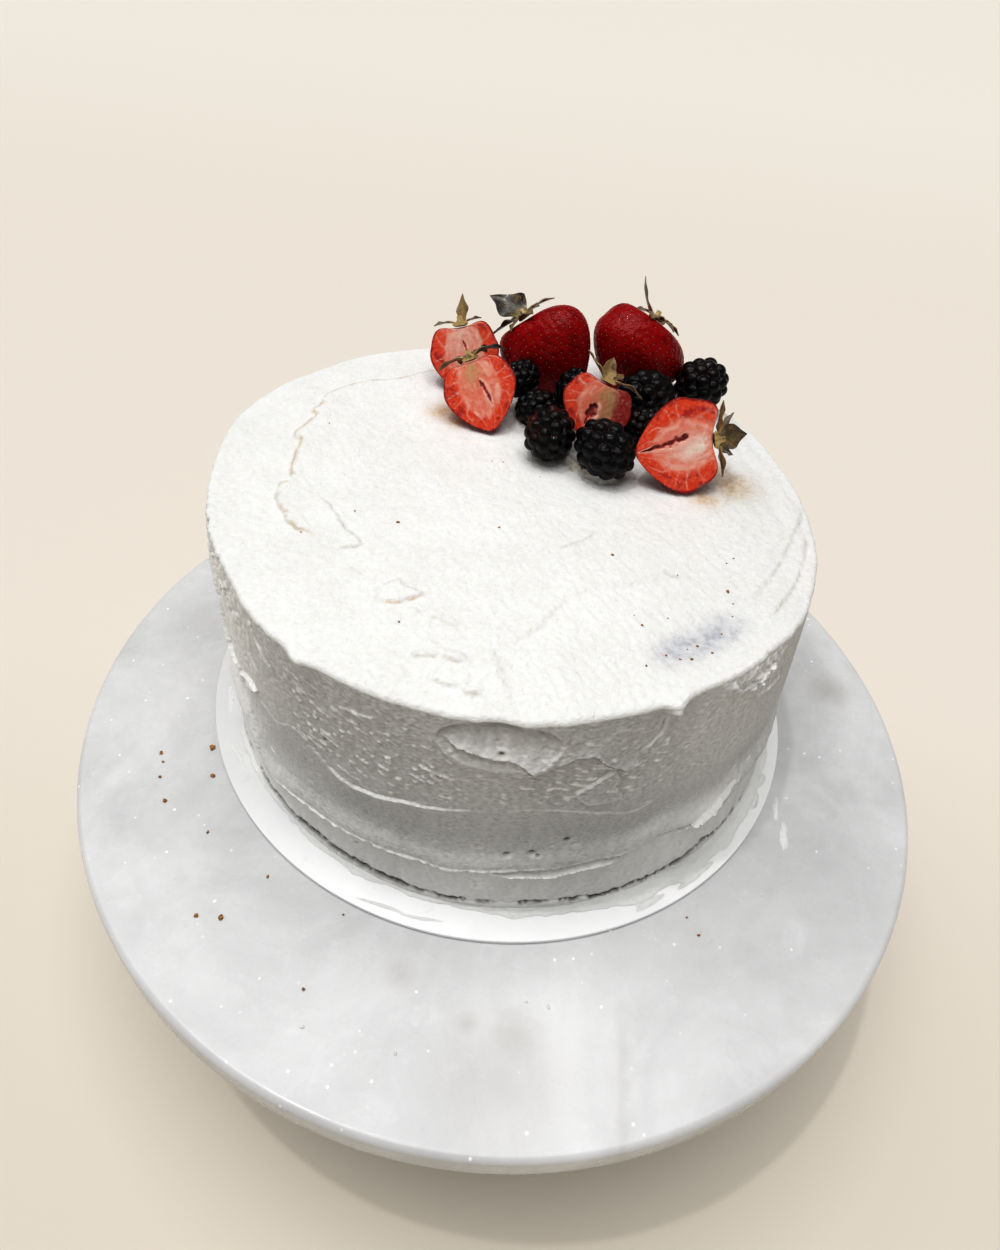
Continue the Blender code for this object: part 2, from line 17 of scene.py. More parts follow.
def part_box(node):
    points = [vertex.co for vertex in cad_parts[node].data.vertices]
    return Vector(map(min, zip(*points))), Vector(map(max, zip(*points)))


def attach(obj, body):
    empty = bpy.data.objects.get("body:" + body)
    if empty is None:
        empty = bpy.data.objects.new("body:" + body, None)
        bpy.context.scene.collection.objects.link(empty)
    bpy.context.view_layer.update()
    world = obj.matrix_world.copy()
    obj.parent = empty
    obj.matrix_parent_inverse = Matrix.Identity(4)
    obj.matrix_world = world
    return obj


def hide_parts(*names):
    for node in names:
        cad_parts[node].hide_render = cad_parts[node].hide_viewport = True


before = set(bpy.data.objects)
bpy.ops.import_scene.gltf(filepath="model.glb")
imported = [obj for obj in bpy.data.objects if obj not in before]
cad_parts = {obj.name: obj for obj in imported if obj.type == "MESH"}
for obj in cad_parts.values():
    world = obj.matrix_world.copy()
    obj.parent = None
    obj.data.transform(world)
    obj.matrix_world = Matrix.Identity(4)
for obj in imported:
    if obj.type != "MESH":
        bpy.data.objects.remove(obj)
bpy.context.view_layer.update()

MM = 0.001

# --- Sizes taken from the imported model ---

PLATE_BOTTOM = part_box("stand_plate")[0].z
PLATE_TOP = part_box("stand_plate")[1].z
PLATE_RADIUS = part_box("stand_plate")[1].x
PLATE_EASED_EDGE = 0.0025
FOOT_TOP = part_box("stand_foot")[1].z
FOOT_BASE_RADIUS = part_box("stand_foot")[1].x
FOOT_BASE_THICKNESS = 0.011
FOOT_WAIST_RADIUS = 0.024
FOOT_TOP_RADIUS = 0.058
FOOT_NECK = 0.030
BOARD_LOW, BOARD_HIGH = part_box("cake_board")
BOARD_CENTRE = ((BOARD_LOW.x + BOARD_HIGH.x) / 2, (BOARD_LOW.y + BOARD_HIGH.y) / 2)
BOARD_RADIUS = (BOARD_HIGH.x - BOARD_LOW.x) / 2
CAKE_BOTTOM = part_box("cake")[0].z
CAKE_TOP = PLATE_TOP + 0.094
CAKE_HEIGHT = CAKE_TOP - CAKE_BOTTOM
CAKE_OVER_PLATE = CAKE_BOTTOM - PLATE_TOP

# --- The cake's form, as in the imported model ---

CAKE_BOTTOM_RADIUS = 0.1066
CAKE_TOP_RADIUS = 0.1030
CAKE_BOTTOM_CENTRE = (-0.0010, 0.0199)
CAKE_TOP_CENTRE = (-0.0052, 0.0221)
RIM_ROUNDING = 0.0016
OUTLINE_BUMPS = (  # degrees, rise, half width in degrees
    (162, 0.0034, 16),
    (112, -0.0034, 14),
    (15, -0.0014, 22),
    (-27, 0.0015, 12),
    (-60, -0.0008, 12),
    (-100, 0.0007, 22),
    (-146, -0.0015, 10),
)
# Ledges: height over the board, how far it swings, and the (share, waves in a turn, start) of its swings
LOWER_LEDGE = (0.0245, 0.0035, ((0.7, 1, 1.05), (0.3, 3, 0.6)))
LOWER_LEDGE_DEPTH = 0.0013
UPPER_LEDGE = (0.0510, 0.0028, ((0.6, 2, 3.0), (0.4, 5, 0.9)))
UPPER_LEDGE_DEPTH = 0.0008
UPPER_LEDGE_SHARE = (  # degrees, how much of its depth the upper ledge has there
    (-180, 0.4), (-136, 0.25), (-124, 0.4), (-119, 0.85), (-98, 0.85), (-93, 0.35), (-78, 0.3), (-73, 0.5),
    (-64, 0.45), (-60, 0.1), (-40, 0.1), (-10, 0.4), (60, 0.8), (180, 0.4),
)
SIDE_HOLLOW = 0.0013
SIDE_RADIUS_MM = 105.0  # for laying the side's marks out flat
SLANT = 0.0004  # how much the knife's grain on the side falls in each degree
SUNK_SHARE = 0.04  # how far the hidden rims of the icing's meshes go in, as a share of its radius
SCOOP_ANGLE = -88.3
SCOOP_HALF_WIDTH = 9.6
SCOOP_TOP = 0.0910
SCOOP_BOTTOM = 0.0725
SCOOP_DEPTH = 0.0046
SCOOP_LIP = 0.0012
SCOOP_DEEPEST = 0.16  # where it is deepest, as a share of the way down
SCOOP_END = 1.25  # where its lip ends
SIDE_PATS = (  # degrees, height, rise, half width in degrees, half height
    (-46.0, 0.0270, 0.0014, 8.0, 0.0030),
    (-60.5, 0.0905, 0.0022, 2.4, 0.0035),
    (-121.5, 0.0900, 0.0018, 2.2, 0.0030),
    (-42.0, 0.0860, 0.0012, 6.0, 0.0030),
    (30.0, 0.0640, 0.0012, 5.0, 0.0050),
    (95.0, 0.0420, 0.0014, 6.0, 0.0050),
    (150.0, 0.0780, 0.0013, 4.0, 0.0045),
)
TOP_PATS = (  # place from the middle of the top, rise, radius
    (-0.0310, -0.0600, 0.0007, 0.0100),
    (0.0080, -0.0850, 0.0006, 0.0220),
    (0.0600, -0.0620, -0.0010, 0.0170),
    (0.0200, -0.0480, 0.0006, 0.0160),
    (-0.0720, 0.0200, 0.0006, 0.0160),
    (0.0780, 0.0300, -0.0007, 0.0180),
    (-0.0150, 0.0900, 0.0005, 0.0100),
    (-0.0600, 0.0600, -0.0006, 0.0180),
)

# --- How fine the meshes are ---

TURNED_SEGMENTS = 320
FOOT_SEGMENTS = 112
STONE_SHARP = 35  # degrees between faces from which an edge of stone, card or crumb is sharp
FRONT_COLUMNS, BACK_COLUMNS = 532, 200
FRONT_COLUMN_MM = 0.585  # how far apart the front columns are
SIDE_SPANS = (  # from and to which height, and how far apart the rows are
    (0.0, 0.0065, 0.00030), (0.0065, 0.014, 0.0006), (0.014, 0.030, 0.00032), (0.030, 0.042, 0.00045),
    (0.042, 0.060, 0.00035), (0.060, CAKE_HEIGHT - RIM_ROUNDING, 0.00036),
)
TOP_RING_STEP = 0.00070
TOP_FINE_UNTIL = 0.0415  # distance from the middle at which the top's rings get coarser
TOP_INNER_RINGS = ((0.0009, 0.018), (0.0011, 0.0))  # step, and how near to the middle
SKIRT_COLUMNS = 640

# --- Knife marks on the side: degrees, mm above the marble ---

UPPER_LINE = (
    (-122.5, 58.8), (-120.2, 54.6), (-117.0, 50.8), (-113.3, 49.0), (-108.8, 49.8), (-104.7, 51.3),
    (-97.6, 52.4), (-92.3, 54.0), (-88.2, 54.8), (-84.2, 56.4), (-75.8, 54.6), (-70.4, 51.3), (-64.6, 47.9),
)
LOWER_LINE = (
    (-137.2, 16.2), (-130.4, 20.4), (-123.9, 22.4), (-118.3, 23.0), (-106.0, 23.8), (-100.5, 23.4),
    (-95.6, 22.7), (-89.8, 25.0), (-82.0, 26.3), (-74.5, 27.4), (-70.0, 28.2), (-65.0, 27.2), (-59.2, 30.0),
)
FLAP_EDGE = (  # the edge of the flap of icing under the scoop
    (-98.1, 85.6), (-95.3, 82.4), (-92.6, 80.5), (-88.7, 79.2), (-86.0, 79.1), (-83.6, 76.1), (-81.6, 75.1),
    (-79.3, 77.2), (-77.0, 79.4), (-73.8, 79.7), (-71.9, 75.8), (-68.6, 71.3), (-65.9, 70.3), (-64.2, 70.9),
)
STRIP = (  # a thin raised strip along the lower ledge
    (-90.2, 24.0), (-86.3, 23.6), (-81.0, 22.6), (-76.1, 23.5), (-72.1, 24.5), (-67.8, 24.5), (-64.3, 23.4),
)
RIGHT_STRIP = (  # and a wider one at the right
    (-58.9, 26.0), (-54.9, 26.8), (-52.1, 28.8), (-48.5, 30.7), (-44.6, 32.3), (-39.9, 32.6), (-33.0, 32.4),
)
RIM_CRACK = ((-60.2, 90.5), (-61.8, 86.5), (-62.1, 81.4), (-63.3, 79.6), (-64.7, 77.3), (-66.6, 76.7))
SCOOP_STROKE = ((-97.3, 85.6), (-95.3, 87.2), (-91.5, 88.0), (-87.4, 88.6), (-83.2, 87.6), (-80.2, 85.6))
SIDE_STROKES = (  # path, rise, tail
    (((-134.4, 90.1), (-133.2, 85.1), (-131.0, 82.0), (-127.8, 77.3)), 0.55, 2.0),
    (((-137.3, 72.8), (-135.8, 70.2), (-134.0, 68.0)), 0.45, 1.6),
    (((-166.0, 84.0), (-158.0, 66.0), (-151.5, 54.0), (-145.1, 51.3)), 1.0, 2.5),
    (((-114.5, 82.2), (-111.1, 83.1), (-107.5, 84.2)), 0.35, 1.5),
    (((-69.4, 70.4), (-66.8, 69.6), (-64.1, 70.4)), 0.6, 1.6),
    (((-49.1, 92.3), (-47.6, 87.5), (-44.9, 84.7), (-40.4, 86.5), (-37.3, 87.6)), 0.8, 2.2),
    (((-44.3, 83.4), (-41.6, 84.4), (-36.0, 84.0)), 0.8, 1.8),
    (((-41.0, 76.6), (-37.5, 75.2), (-32.0, 74.0)), 0.5, 1.8),
    (((20.0, 52.0), (36.0, 57.0), (58.0, 55.0), (80.0, 60.0)), 0.6, 3.0),
    (((100.0, 30.0), (122.0, 36.0), (150.0, 33.0), (170.0, 38.0)), 0.7, 3.0),
    (((150.0, 70.0), (163.0, 74.0), (176.0, 70.0)), 0.6, 2.5),
    (((60.0, 78.0), (85.0, 73.0), (112.0, 77.0)), 0.6, 2.5),
)
SIDE_FLAKES = (  # outline, how far it stands out, width of its edge
    (((-75.8, 63.6), (-72.7, 67.6), (-69.5, 71.0), (-68.3, 66.6), (-69.2, 63.0), (-67.2, 57.6),
      (-68.7, 55.5), (-73.8, 57.2), (-75.5, 60.8)), 0.9, 0.35),
    (((-144.9, 52.1), (-139.8, 56.9), (-135.8, 57.4), (-137.8, 54.6), (-142.5, 49.9), (-146.3, 45.8)),
     1.5, 0.45),
)
SHADED_PIT_DEPTH = 0.75  # a deeper pit is painted near-black inside, as painted shade in the hole
SIDE_PITS = (  # degrees, level, depth, half width
    (-86.1, 32.6, 1.3, 0.75), (-81.8, 33.2, 1.5, 0.85), (-80.9, 32.2, 0.9, 0.5), (-75.9, 38.3, 0.8, 0.9),
    (-78.7, 36.7, 0.7, 0.45), (-91.0, 35.1, 0.6, 0.7), (-91.0, 70.5, -0.7, 1.0), (-85.0, 73.2, -0.5, 0.8),
    (-78.6, 70.4, -0.6, 0.9), (-142.4, 49.6, 2.6, 1.1), (-118.0, 63.0, 0.8, 0.6), (-113.5, 17.5, 0.8, 0.6),
    (-141.5, 44.0, 1.0, 0.8), (-140.2, 41.5, 1.0, 0.8), (-60.7, 91.0, -1.6, 1.5), (-87.9, 80.6, 1.2, 0.6),
)
SIDE_SHADE_TONES = (  # degrees, how pale the side is there: painted shade, darker at the front and right than at the back left
    (-180, 1.06), (-160, 1.08), (-148, 0.97), (-130, 0.745), (-106, 0.68), (-90, 0.70), (-76, 0.65),
    (-62, 0.68), (-50, 0.75), (-30, 0.69), (90, 0.74), (180, 1.06),
)
ROUGH_SIDES = (  # degrees, level, half width in degrees, half height; the second is also painted near-black in its dips, as painted shade
    (-151.0, 82.0, 9.0, 9.0), (-160.0, 88.0, 8.0, 6.0), (-41.0, 86.0, 6.0, 6.0),
)
PAINTED_HIGHLIGHT_LINES = (  # path, how much paler, half width: painted highlights along ridges, strips and strokes
    (SIDE_STROKES[0][0], 0.60, 0.50), (SIDE_STROKES[1][0], 0.60, 0.50), (STRIP, 0.42, 0.50),
    (RIGHT_STRIP, 0.45, 0.80), (SCOOP_STROKE, 0.35, 0.60), (SIDE_STROKES[5][0], 0.40, 0.60),
    (LOWER_LINE, 0.35, 0.40), (UPPER_LINE[:8], 0.50, 0.35), (UPPER_LINE[8:], 0.45, 0.30),
)

# --- Knife marks on the top: mm from the plate's middle ---

TOP_CREASES = (  # path, rise, tail, which side stands up
    (((-33.0, 94.5), (-43.7, 92.8), (-56.1, 83.7), (-66.5, 80.5), (-74.3, 74.4), (-79.9, 67.2),
      (-80.6, 58.7), (-82.8, 53.4), (-80.5, 51.0), (-82.5, 44.0), (-85.5, 36.6), (-82.1, 34.4),
      (-82.0, 25.7), (-81.6, 17.5), (-79.6, 11.2), (-83.0, 8.0), (-82.2, 1.7), (-77.9, -6.1),
      (-73.4, -12.4), (-67.7, -14.8), (-61.8, -18.4)), 0.55, 7.0, 1),
    (((-70.8, 5.1), (-63.0, -2.8), (-57.6, -10.8), (-51.5, -17.7), (-58.6, -19.8)), 0.35, 3.0, -1),
    (((-53.4, -27.9), (-48.5, -31.3), (-43.1, -34.5)), 0.25, 3.0, 1),
    (((-32.5, -42.7), (-24.3, -46.2), (-16.0, -48.7)), 0.25, 3.0, 1),
    (((-37.9, -44.6), (-36.5, -49.1), (-33.6, -50.5)), 0.35, 2.0, 1),
    (((-29.0, -60.5), (-25.4, -61.8), (-19.7, -61.4), (-13.2, -62.6)), 0.5, 3.0, 1),
    (((-22.0, -69.0), (-18.5, -70.9), (-14.1, -71.5), (-12.0, -73.3), (-7.1, -72.9)), 0.6, 3.0, 1),
    (((20.9, 1.4), (21.3, -2.1), (16.5, -5.9), (10.7, -10.3)), 0.3, 3.0, 1),
    (((45.0, -12.7), (45.4, -15.5), (48.3, -16.2), (53.3, -15.0)), 0.25, 2.0, 1),
    (((11.0, 47.0), (12.0, 39.8), (15.8, 34.9), (21.6, 30.4), (25.6, 29.5), (31.2, 31.4)), 2.2, 4.0, 1),
    (((70.5, -23.2), (80.0, -8.0), (87.9, 8.9), (96.0, 30.0)), 0.3, 4.0, 1),
    (((76.0, -30.0), (88.0, -8.0), (94.0, 14.0)), 0.3, 3.0, 1),
    (((60.0, 14.0), (68.0, 24.0), (72.0, 37.0), (70.0, 48.0)), 0.3, 3.0, -1),
    (((30.0, 104.0), (52.0, 98.0), (70.0, 84.0), (82.0, 66.0)), 0.4, 5.0, 1),
    (((-20.0, 112.0), (6.0, 108.0), (28.0, 110.0)), 0.4, 4.0, -1),
)
TOP_CREST = (  # a ridge that is steep on its left
    (49.8, -8.5), (38.0, -18.5), (30.2, -22.3), (21.8, -25.3), (16.9, -28.7), (11.4, -33.6), (8.2, -40.1),
    (3.8, -46.5), (-1.8, -52.0), (-6.6, -57.2), (-5.5, -63.1), (-2.6, -71.1), (-1.8, -80.0),
)
TOP_FLAKES = (  # outline, how far it stands out, width of its edge
    (((-42.3, -42.4), (-42.9, -37.5), (-39.1, -33.8), (-36.6, -31.9), (-34.0, -35.0), (-28.0, -36.5),
      (-29.4, -38.3), (-34.4, -41.6), (-36.3, -42.4)), 0.75, 1.1),
    (((-12.5, 70.5), (-8.4, 67.4), (-5.4, 61.2), (-1.6, 56.4), (-3.2, 53.6), (-8.6, 56.5), (-12.6, 62.0)),
     2.6, 2.2),
)
# The lower edge of a flake, along which lies a tan painted shadow
FLAKE_SHADOW_EDGE = ((-42.3, -42.4), (-36.3, -42.4), (-34.4, -41.6), (-29.4, -38.3), (-28.0, -36.5))
# The middle of a broad shallow dent
DENT_LINE = ((37.0, -55.7), (47.3, -47.0), (60.2, -38.0), (68.8, -26.2))
TOP_ROUGH = (  # x, y, half width and half length of a rough patch
    (-20.0, -66.0, 17.0, 9.0), (18.0, 33.0, 10.0, 6.0), (68.0, 40.0, 9.0, 14.0), (-4.0, 70.0, 8.0, 8.0),
)
STAINS = (  # x, y, radius of a warm stain
    (-35.4, 64.1, 5.5), (-29.5, 58.8, 4.5), (70.8, 36.8, 8.0), (61.0, 27.0, 5.0), (66.0, 46.0, 5.0),
)

WARM_SHADE_LINES = (  # path, strength, half width, and the noise between which it shows; warm painted shade along two creases and under a flake's edge
    (TOP_CREASES[0][0], 0.5, 0.7, 0.3, 0.6), (TOP_CREASES[9][0], 0.5, 0.7, 0.3, 0.6),
    (FLAKE_SHADOW_EDGE, 0.75, 0.45, 0.2, 0.5),
)

# --- Crumbs, smears, board and marble: mm, unless it says metres ---

TOP_SPECKS = (  # x, y, size
    (-41.6, -5.1, 0.62), (-9.0, -1.9, 0.50), (64.0, -20.2, 0.66), (-56.3, -1.5, 0.40), (27.9, -9.6, 0.52),
    (36.4, -39.5, 0.50), (-14.5, 35.2, 0.32), (-10.6, 35.3, 0.28), (-70.7, -14.9, 0.36), (37.0, -55.7, 0.42),
    (43.2, -49.8, 0.52), (50.5, -50.5, 0.50), (56.7, -47.0, 0.46), (52.7, -44.5, 0.42), (60.5, -38.3, 0.38),
    (64.9, -7.0, 0.32), (67.5, -4.1, 0.34), (47.0, -51.1, 0.40), (49.6, -46.3, 0.32), (64.4, -30.7, 0.34),
    (65.1, -25.5, 0.36), (48.4, -15.8, 0.32), (34.1, -35.9, 0.28), (44.5, -34.8, 0.30), (-34.0, -50.0, 0.34),
    (-75.0, 46.0, 0.30), (3.0, 29.0, 0.28),
)
LOW_CRUMBS = (  # x, y, size; on the board where it reaches, else on the marble
    (-125.1, -39.1, 0.85), (-123.0, -42.9, 0.6), (-121.8, -49.4, 0.75), (-116.6, -59.0, 0.95),
    (-107.3, -34.4, 1.1), (-103.4, -46.5, 0.9), (-98.0, -69.3, 0.6), (-73.3, -83.4, 0.55),
    (-92.2, -99.5, 0.85), (-84.2, -99.3, 1.0), (-45.6, -93.7, 0.5), (-52.7, -118.9, 0.65),
    (68.4, -81.2, 0.5), (71.9, -87.1, 0.55), (122.0, 60.0, 0.8), (60.0, 138.0, 0.7), (-100.0, 112.0, 0.8),
)
ICING_DROPS = (  # x, y, size
    (110.3, -28.3, 1.3), (-50.5, -129.8, 0.9), (-21.9, -134.4, 0.8), (22.7, -115.9, 0.8),
    (15.8, -115.1, 0.6), (95.0, -70.0, 0.6), (-131.0, 20.0, 0.8), (40.0, 145.0, 0.9),
)
SMEARS = (  # on the board: x, y, half length, half width, turn in degrees, height
    (-107.0, -12.0, 7.0, 1.2, 104, 0.5),
    (-96.0, -38.0, 6.0, 1.0, 128, 0.35),
    (-34.0, -89.9, 8.0, 0.7, -12, 0.30),
    (-20.0, -92.8, 7.0, 0.6, -2, 0.28),
    (55.5, -78.2, 7.0, 1.2, 34, 0.40),
    (72.0, -66.0, 8.0, 1.6, 44, 0.45),
    (86.0, -48.0, 9.0, 1.7, 58, 0.45),
    (97.0, -28.0, 9.0, 1.5, 70, 0.45),
    (100.8, -22.3, 3.2, 1.8, 70, 1.1),
    (97.0, -32.5, 3.6, 1.7, 62, 1.1),
    (29.0, 123.0, 7.0, 1.1, -14, 0.5),
    (-67.5, 104.8, 7.0, 1.2, 38, 0.5),
)
BOARD_SHADE_TONES = (  # degrees, how pale the board is there: painted shade, darker at the left and back
    (-180, 0.80), (-160, 0.80), (-140, 0.87), (-115, 1.02), (-70, 1.04), (-45, 1.05), (0, 1.04),
    (40, 0.96), (180, 0.80),
)
# As SMEARS, on the marble
MARBLE_SMEARS = ((105.8, -33.0, 5.0, 1.2, 76, 0.5), (107.0, -45.0, 6.0, 1.5, 84, 0.5))
MARBLE_SPOTS_AND_SHADOW = (  # x, y, radius in metres, how dark; the last one is a painted shadow of the cake
    (0.0130, -0.1253, 0.009, 0.30), (-0.0014, -0.1233, 0.004, 0.30), (-0.0241, -0.1112, 0.006, 0.30),
    (0.0095, -0.1383, 0.024, 0.30), (0.1384, 0.0306, 0.011, 0.50),
)
MARBLE_VEIN_X = 0.0463  # metres
SKIRT_WIDTHS = (  # degrees, how far the icing reaches out over the board
    (-180, 1.6), (-165, 1.5), (-150, 1.3), (-135, 1.2), (-115, 1.5), (-90, 2.2), (-76, 2.6), (-66, 4.6),
    (-55, 6.0), (-40, 5.6), (-20, 3.4), (20, 2.2), (90, 2.0), (150, 2.0), (180, 1.8),
)

# --- Berries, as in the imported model: places from the middle of the cake's top ---

CALYX_LIFT = 0.0017  # height of a calyx over its berry's upper end
COLLAR_RADIUS = 0.0030
# calyx, tip, width, thickness, the way it faces, height of its shoulders, how much more of it is on its left
STRAWBERRIES = {
    "strawberry_half_left": ((-0.0275, 0.0672, 0.0212), (-0.0218, 0.0535, 0.0015), 0.0268, 0.80,
                             (-0.15, -0.80, 0.58), 0.0032, -0.10),
    "strawberry_half_front_left": ((-0.0210, 0.0437, 0.0203), (-0.0106, 0.0291, 0.0020), 0.0270, 0.80,
                                   (-0.15, -0.80, 0.58), 0.0022, 0.0),
    "strawberry_half_middle": ((0.0281, 0.0342, 0.0226), (0.0217, 0.0228, 0.0072), 0.0266, 0.76,
                               (0.12, -0.80, 0.58), 0.0026, 0.0),
    "strawberry_half_right": ((0.0651, 0.0146, 0.0171), (0.0395, 0.0096, 0.0120), 0.0318, 0.72,
                              (0.05, -0.85, 0.52), 0.0042, 0.25),
    "strawberry_whole_left": ((-0.0024, 0.0731, 0.0248), (0.0200, 0.0606, 0.0038), 0.0364, 0.66,
                              (-0.1, -1.0, 0.10), 0.0019, 1.0),
    "strawberry_whole_right": ((0.0461, 0.0794, 0.0264), (0.0348, 0.0664, 0.0014), 0.0404, 0.66,
                               (0.05, -1.0, 0.10), 0.0020, 0.70),
}
# Sepals of each calyx: degrees round the stem, length, width, start slope, bend to the tip in degrees
CALYXES = {
    "calyx_left": ("strawberry_half_left", (
        (30, 0.0060, 0.0040, 20, -20), (65, 0.0105, 0.0050, 70, 15), (150, 0.0110, 0.0042, 18, -22))),
    "calyx_front_left": ("strawberry_half_front_left", (
        (15, 0.0115, 0.0055, 25, -60), (65, 0.0110, 0.0062, 40, -60), (115, 0.0115, 0.0062, 35, -60),
        (165, 0.0110, 0.0048, 15, -35))),
    "calyx_middle": ("strawberry_half_middle", (
        (10, 0.0115, 0.0042, 15, -35), (60, 0.0095, 0.0050, 35, -10), (105, 0.0085, 0.0062, 60, 10),
        (160, 0.0105, 0.0056, 35, 0))),
    "calyx_right": ("strawberry_half_right", (
        (8, 0.0100, 0.0060, 7, -7), (46, 0.0090, 0.0058, 33, 15), (87, 0.0125, 0.0084, 62, 10),
        (131, 0.0120, 0.0066, 32, 20), (172, 0.0105, 0.0066, 10, 15))),
    "calyx_back_left": ("strawberry_whole_left", (
        (20, 0.0100, 0.0055, 5, -30), (75, 0.0100, 0.0060, 10, -20), (128, 0.0155, 0.0115, 55, 15),
        (190, 0.0120, 0.0085, 15, -15), (245, 0.0080, 0.0050, 0, -30), (305, 0.0080, 0.0050, 0, -30))),
    "calyx_back_right": ("strawberry_whole_right", (
        (0, 0.0090, 0.0050, 5, -30), (60, 0.0110, 0.0050, 5, -20), (115, 0.0100, 0.0050, 10, -20),
        (172, 0.0135, 0.0044, 28, 40), (245, 0.0080, 0.0050, 0, -30), (305, 0.0080, 0.0050, 0, -30))),
}
# middle, half length, half width, long axis, seed
BRAMBLES = {
    "bramble_front_left": ((0.0099, 0.0194, 0.0098), 0.0096, 0.0090, (0.2, 0.3, 0.9), 1),
    "bramble_front": ((0.0294, 0.0126, 0.0104), 0.0114, 0.0096, (0.7, -0.55, -0.3), 2),
    "bramble_left_low": ((0.0046, 0.0388, 0.0078), 0.0080, 0.0068, (1.0, 0.1, 0.2), 3),
    "bramble_left_high": ((-0.0020, 0.0498, 0.0130), 0.0074, 0.0066, (0.3, 0.7, 0.4), 4),
    "bramble_middle": ((0.0173, 0.0468, 0.0107), 0.0102, 0.0070, (0.1, 0.0, 1.0), 5),
    "bramble_right": ((0.0452, 0.0514, 0.0104), 0.0112, 0.0098, (1.0, 0.3, -0.1), 6),
    "bramble_right_low": ((0.0440, 0.0334, 0.0080), 0.0080, 0.0072, (1.0, 0.1, 0.0), 7),
    "bramble_back_right": ((0.0673, 0.0650, 0.0108), 0.0104, 0.0096, (0.9, 0.3, 0.1), 8),
}
TOPPINGS = Matrix.Translation((*CAKE_TOP_CENTRE, CAKE_TOP))

# --- Camera and light ---

CAMERA_PLACE = (-0.0052, -0.2233, 0.3620)
CAMERA_TILT = 44.87  # degrees up from straight down
CAMERA_ROLL = 6.38
CAMERA_LENS = 25.0
CAMERA_SENSOR = 36.0
ROOM_LIGHT = 0.24
SKY_LIGHTS = (  # name, strength, spread in degrees, where it comes from
    ("overhead", 2.13, 52, (-0.06, -0.03, 1.0)),
    ("left", 0.30, 30, (-0.60, 0.22, 0.77)),
    ("glint", 0.45, 1.8, (-0.22, 0.02, 0.97)),
)
VIEW_GAMMA = 0.80
FLOOR_NEAR, FLOOR_FAR = -0.17, 1.40  # painted shade and light: the floor is a little darker before the stand and paler far off
FLOOR_HALF_WIDTH = 8.0
FLOOR_LEVEL = -0.0002


# --- Small tools ---


def srgb(red, green, blue):
    """A colour given 0 to 255, as linear values."""
    part = np.array((red, green, blue)) / 255
    return np.where(part <= 0.04045, part / 12.92, ((part + 0.055) / 1.055) ** 2.4)


def toward(tint, colour, part):
    """Tints moved a part of the way to a colour."""
    return tint + (colour - tint) * np.clip(part, 0, 1)[..., None]


def flat_places(x, y):
    """Places at level 0, for noise over something flat."""
    return np.stack([x, y, x * 0], axis=-1)


def ramp(value, low, high):
    """0 below low, 1 above high, and smooth between."""
    part = np.clip((value - low) / (high - low), 0.0, 1.0)
    return part * part * (3 - 2 * part)


def bump(distance, width):
    """1 where the distance is 0, and near 0 beyond twice the width."""
    return np.exp(-((distance / width) ** 2))


def turn_between(a, b):
    """The smallest turn in degrees from b to a."""
    return (a - b + 180) % 360 - 180


def noise(places, size, seed):
    """Smooth noise from -1 to 1 over an array of places in 3D, with bumps about size across."""
    table = np.random.default_rng(seed).uniform(-1, 1, (32, 32, 32))
    cell = np.asarray(places) / size
    low = np.floor(cell).astype(int)
    part = cell - low
    part = part * part * (3 - 2 * part)
    total = 0.0
    for corner in itertools.product((0, 1), repeat=3):
        index = (low + corner) & 31
        weight = np.prod(np.where(np.array(corner) == 1, part, 1 - part), axis=-1)
        total = total + weight * table[index[..., 0], index[..., 1], index[..., 2]]
    return total


def side_noise(angle, height, around, tall, seed):
    """Noise round the cake's side, with a multiple of 32 bumps in a turn, each so tall."""
    places = np.stack([angle / 360 * around, height / tall, np.zeros_like(height)], axis=-1)
    return noise(places, 1.0, seed)


def smooth_line(points):
    """Points of a smooth line through the given ones."""
    steps = 8
    points = np.array(points, float)
    ends = np.concatenate([2 * points[:1] - points[1:2], points, 2 * points[-1:] - points[-2:-1]])
    line = []
    for a, b, c, d in zip(ends, ends[1:], ends[2:], ends[3:]):
        for k in range(steps):
            t = k / steps
            line.append(0.5 * (2 * b + (c - a) * t + (2 * a - 5 * b + 4 * c - d) * t**2
                               + (3 * b - a - 3 * c + d) * t**3))
    line.append(points[-1])
    return np.array(line)


def spline(x, points):
    """A smooth curve's height at x, through points of (x, height) in order of x, level beyond its ends."""
    at, height = np.array(points, float).T
    slope = np.gradient(height, at)
    x = np.clip(x, at[0], at[-1])
    k = np.clip(np.searchsorted(at, x) - 1, 0, len(at) - 2)
    wide = at[k + 1] - at[k]
    t = (x - at[k]) / wide
    start = height[k] * (1 + 2 * t) * (1 - t) ** 2 + slope[k] * wide * t * (1 - t) ** 2
    return start + height[k + 1] * t**2 * (3 - 2 * t) + slope[k + 1] * wide * t**2 * (t - 1)


FAR_OFF = 99.0
OUTLINE_REACH = 3.0
FADED_ENDS = 0.12  # the share of a knife mark over which each of its ends fades


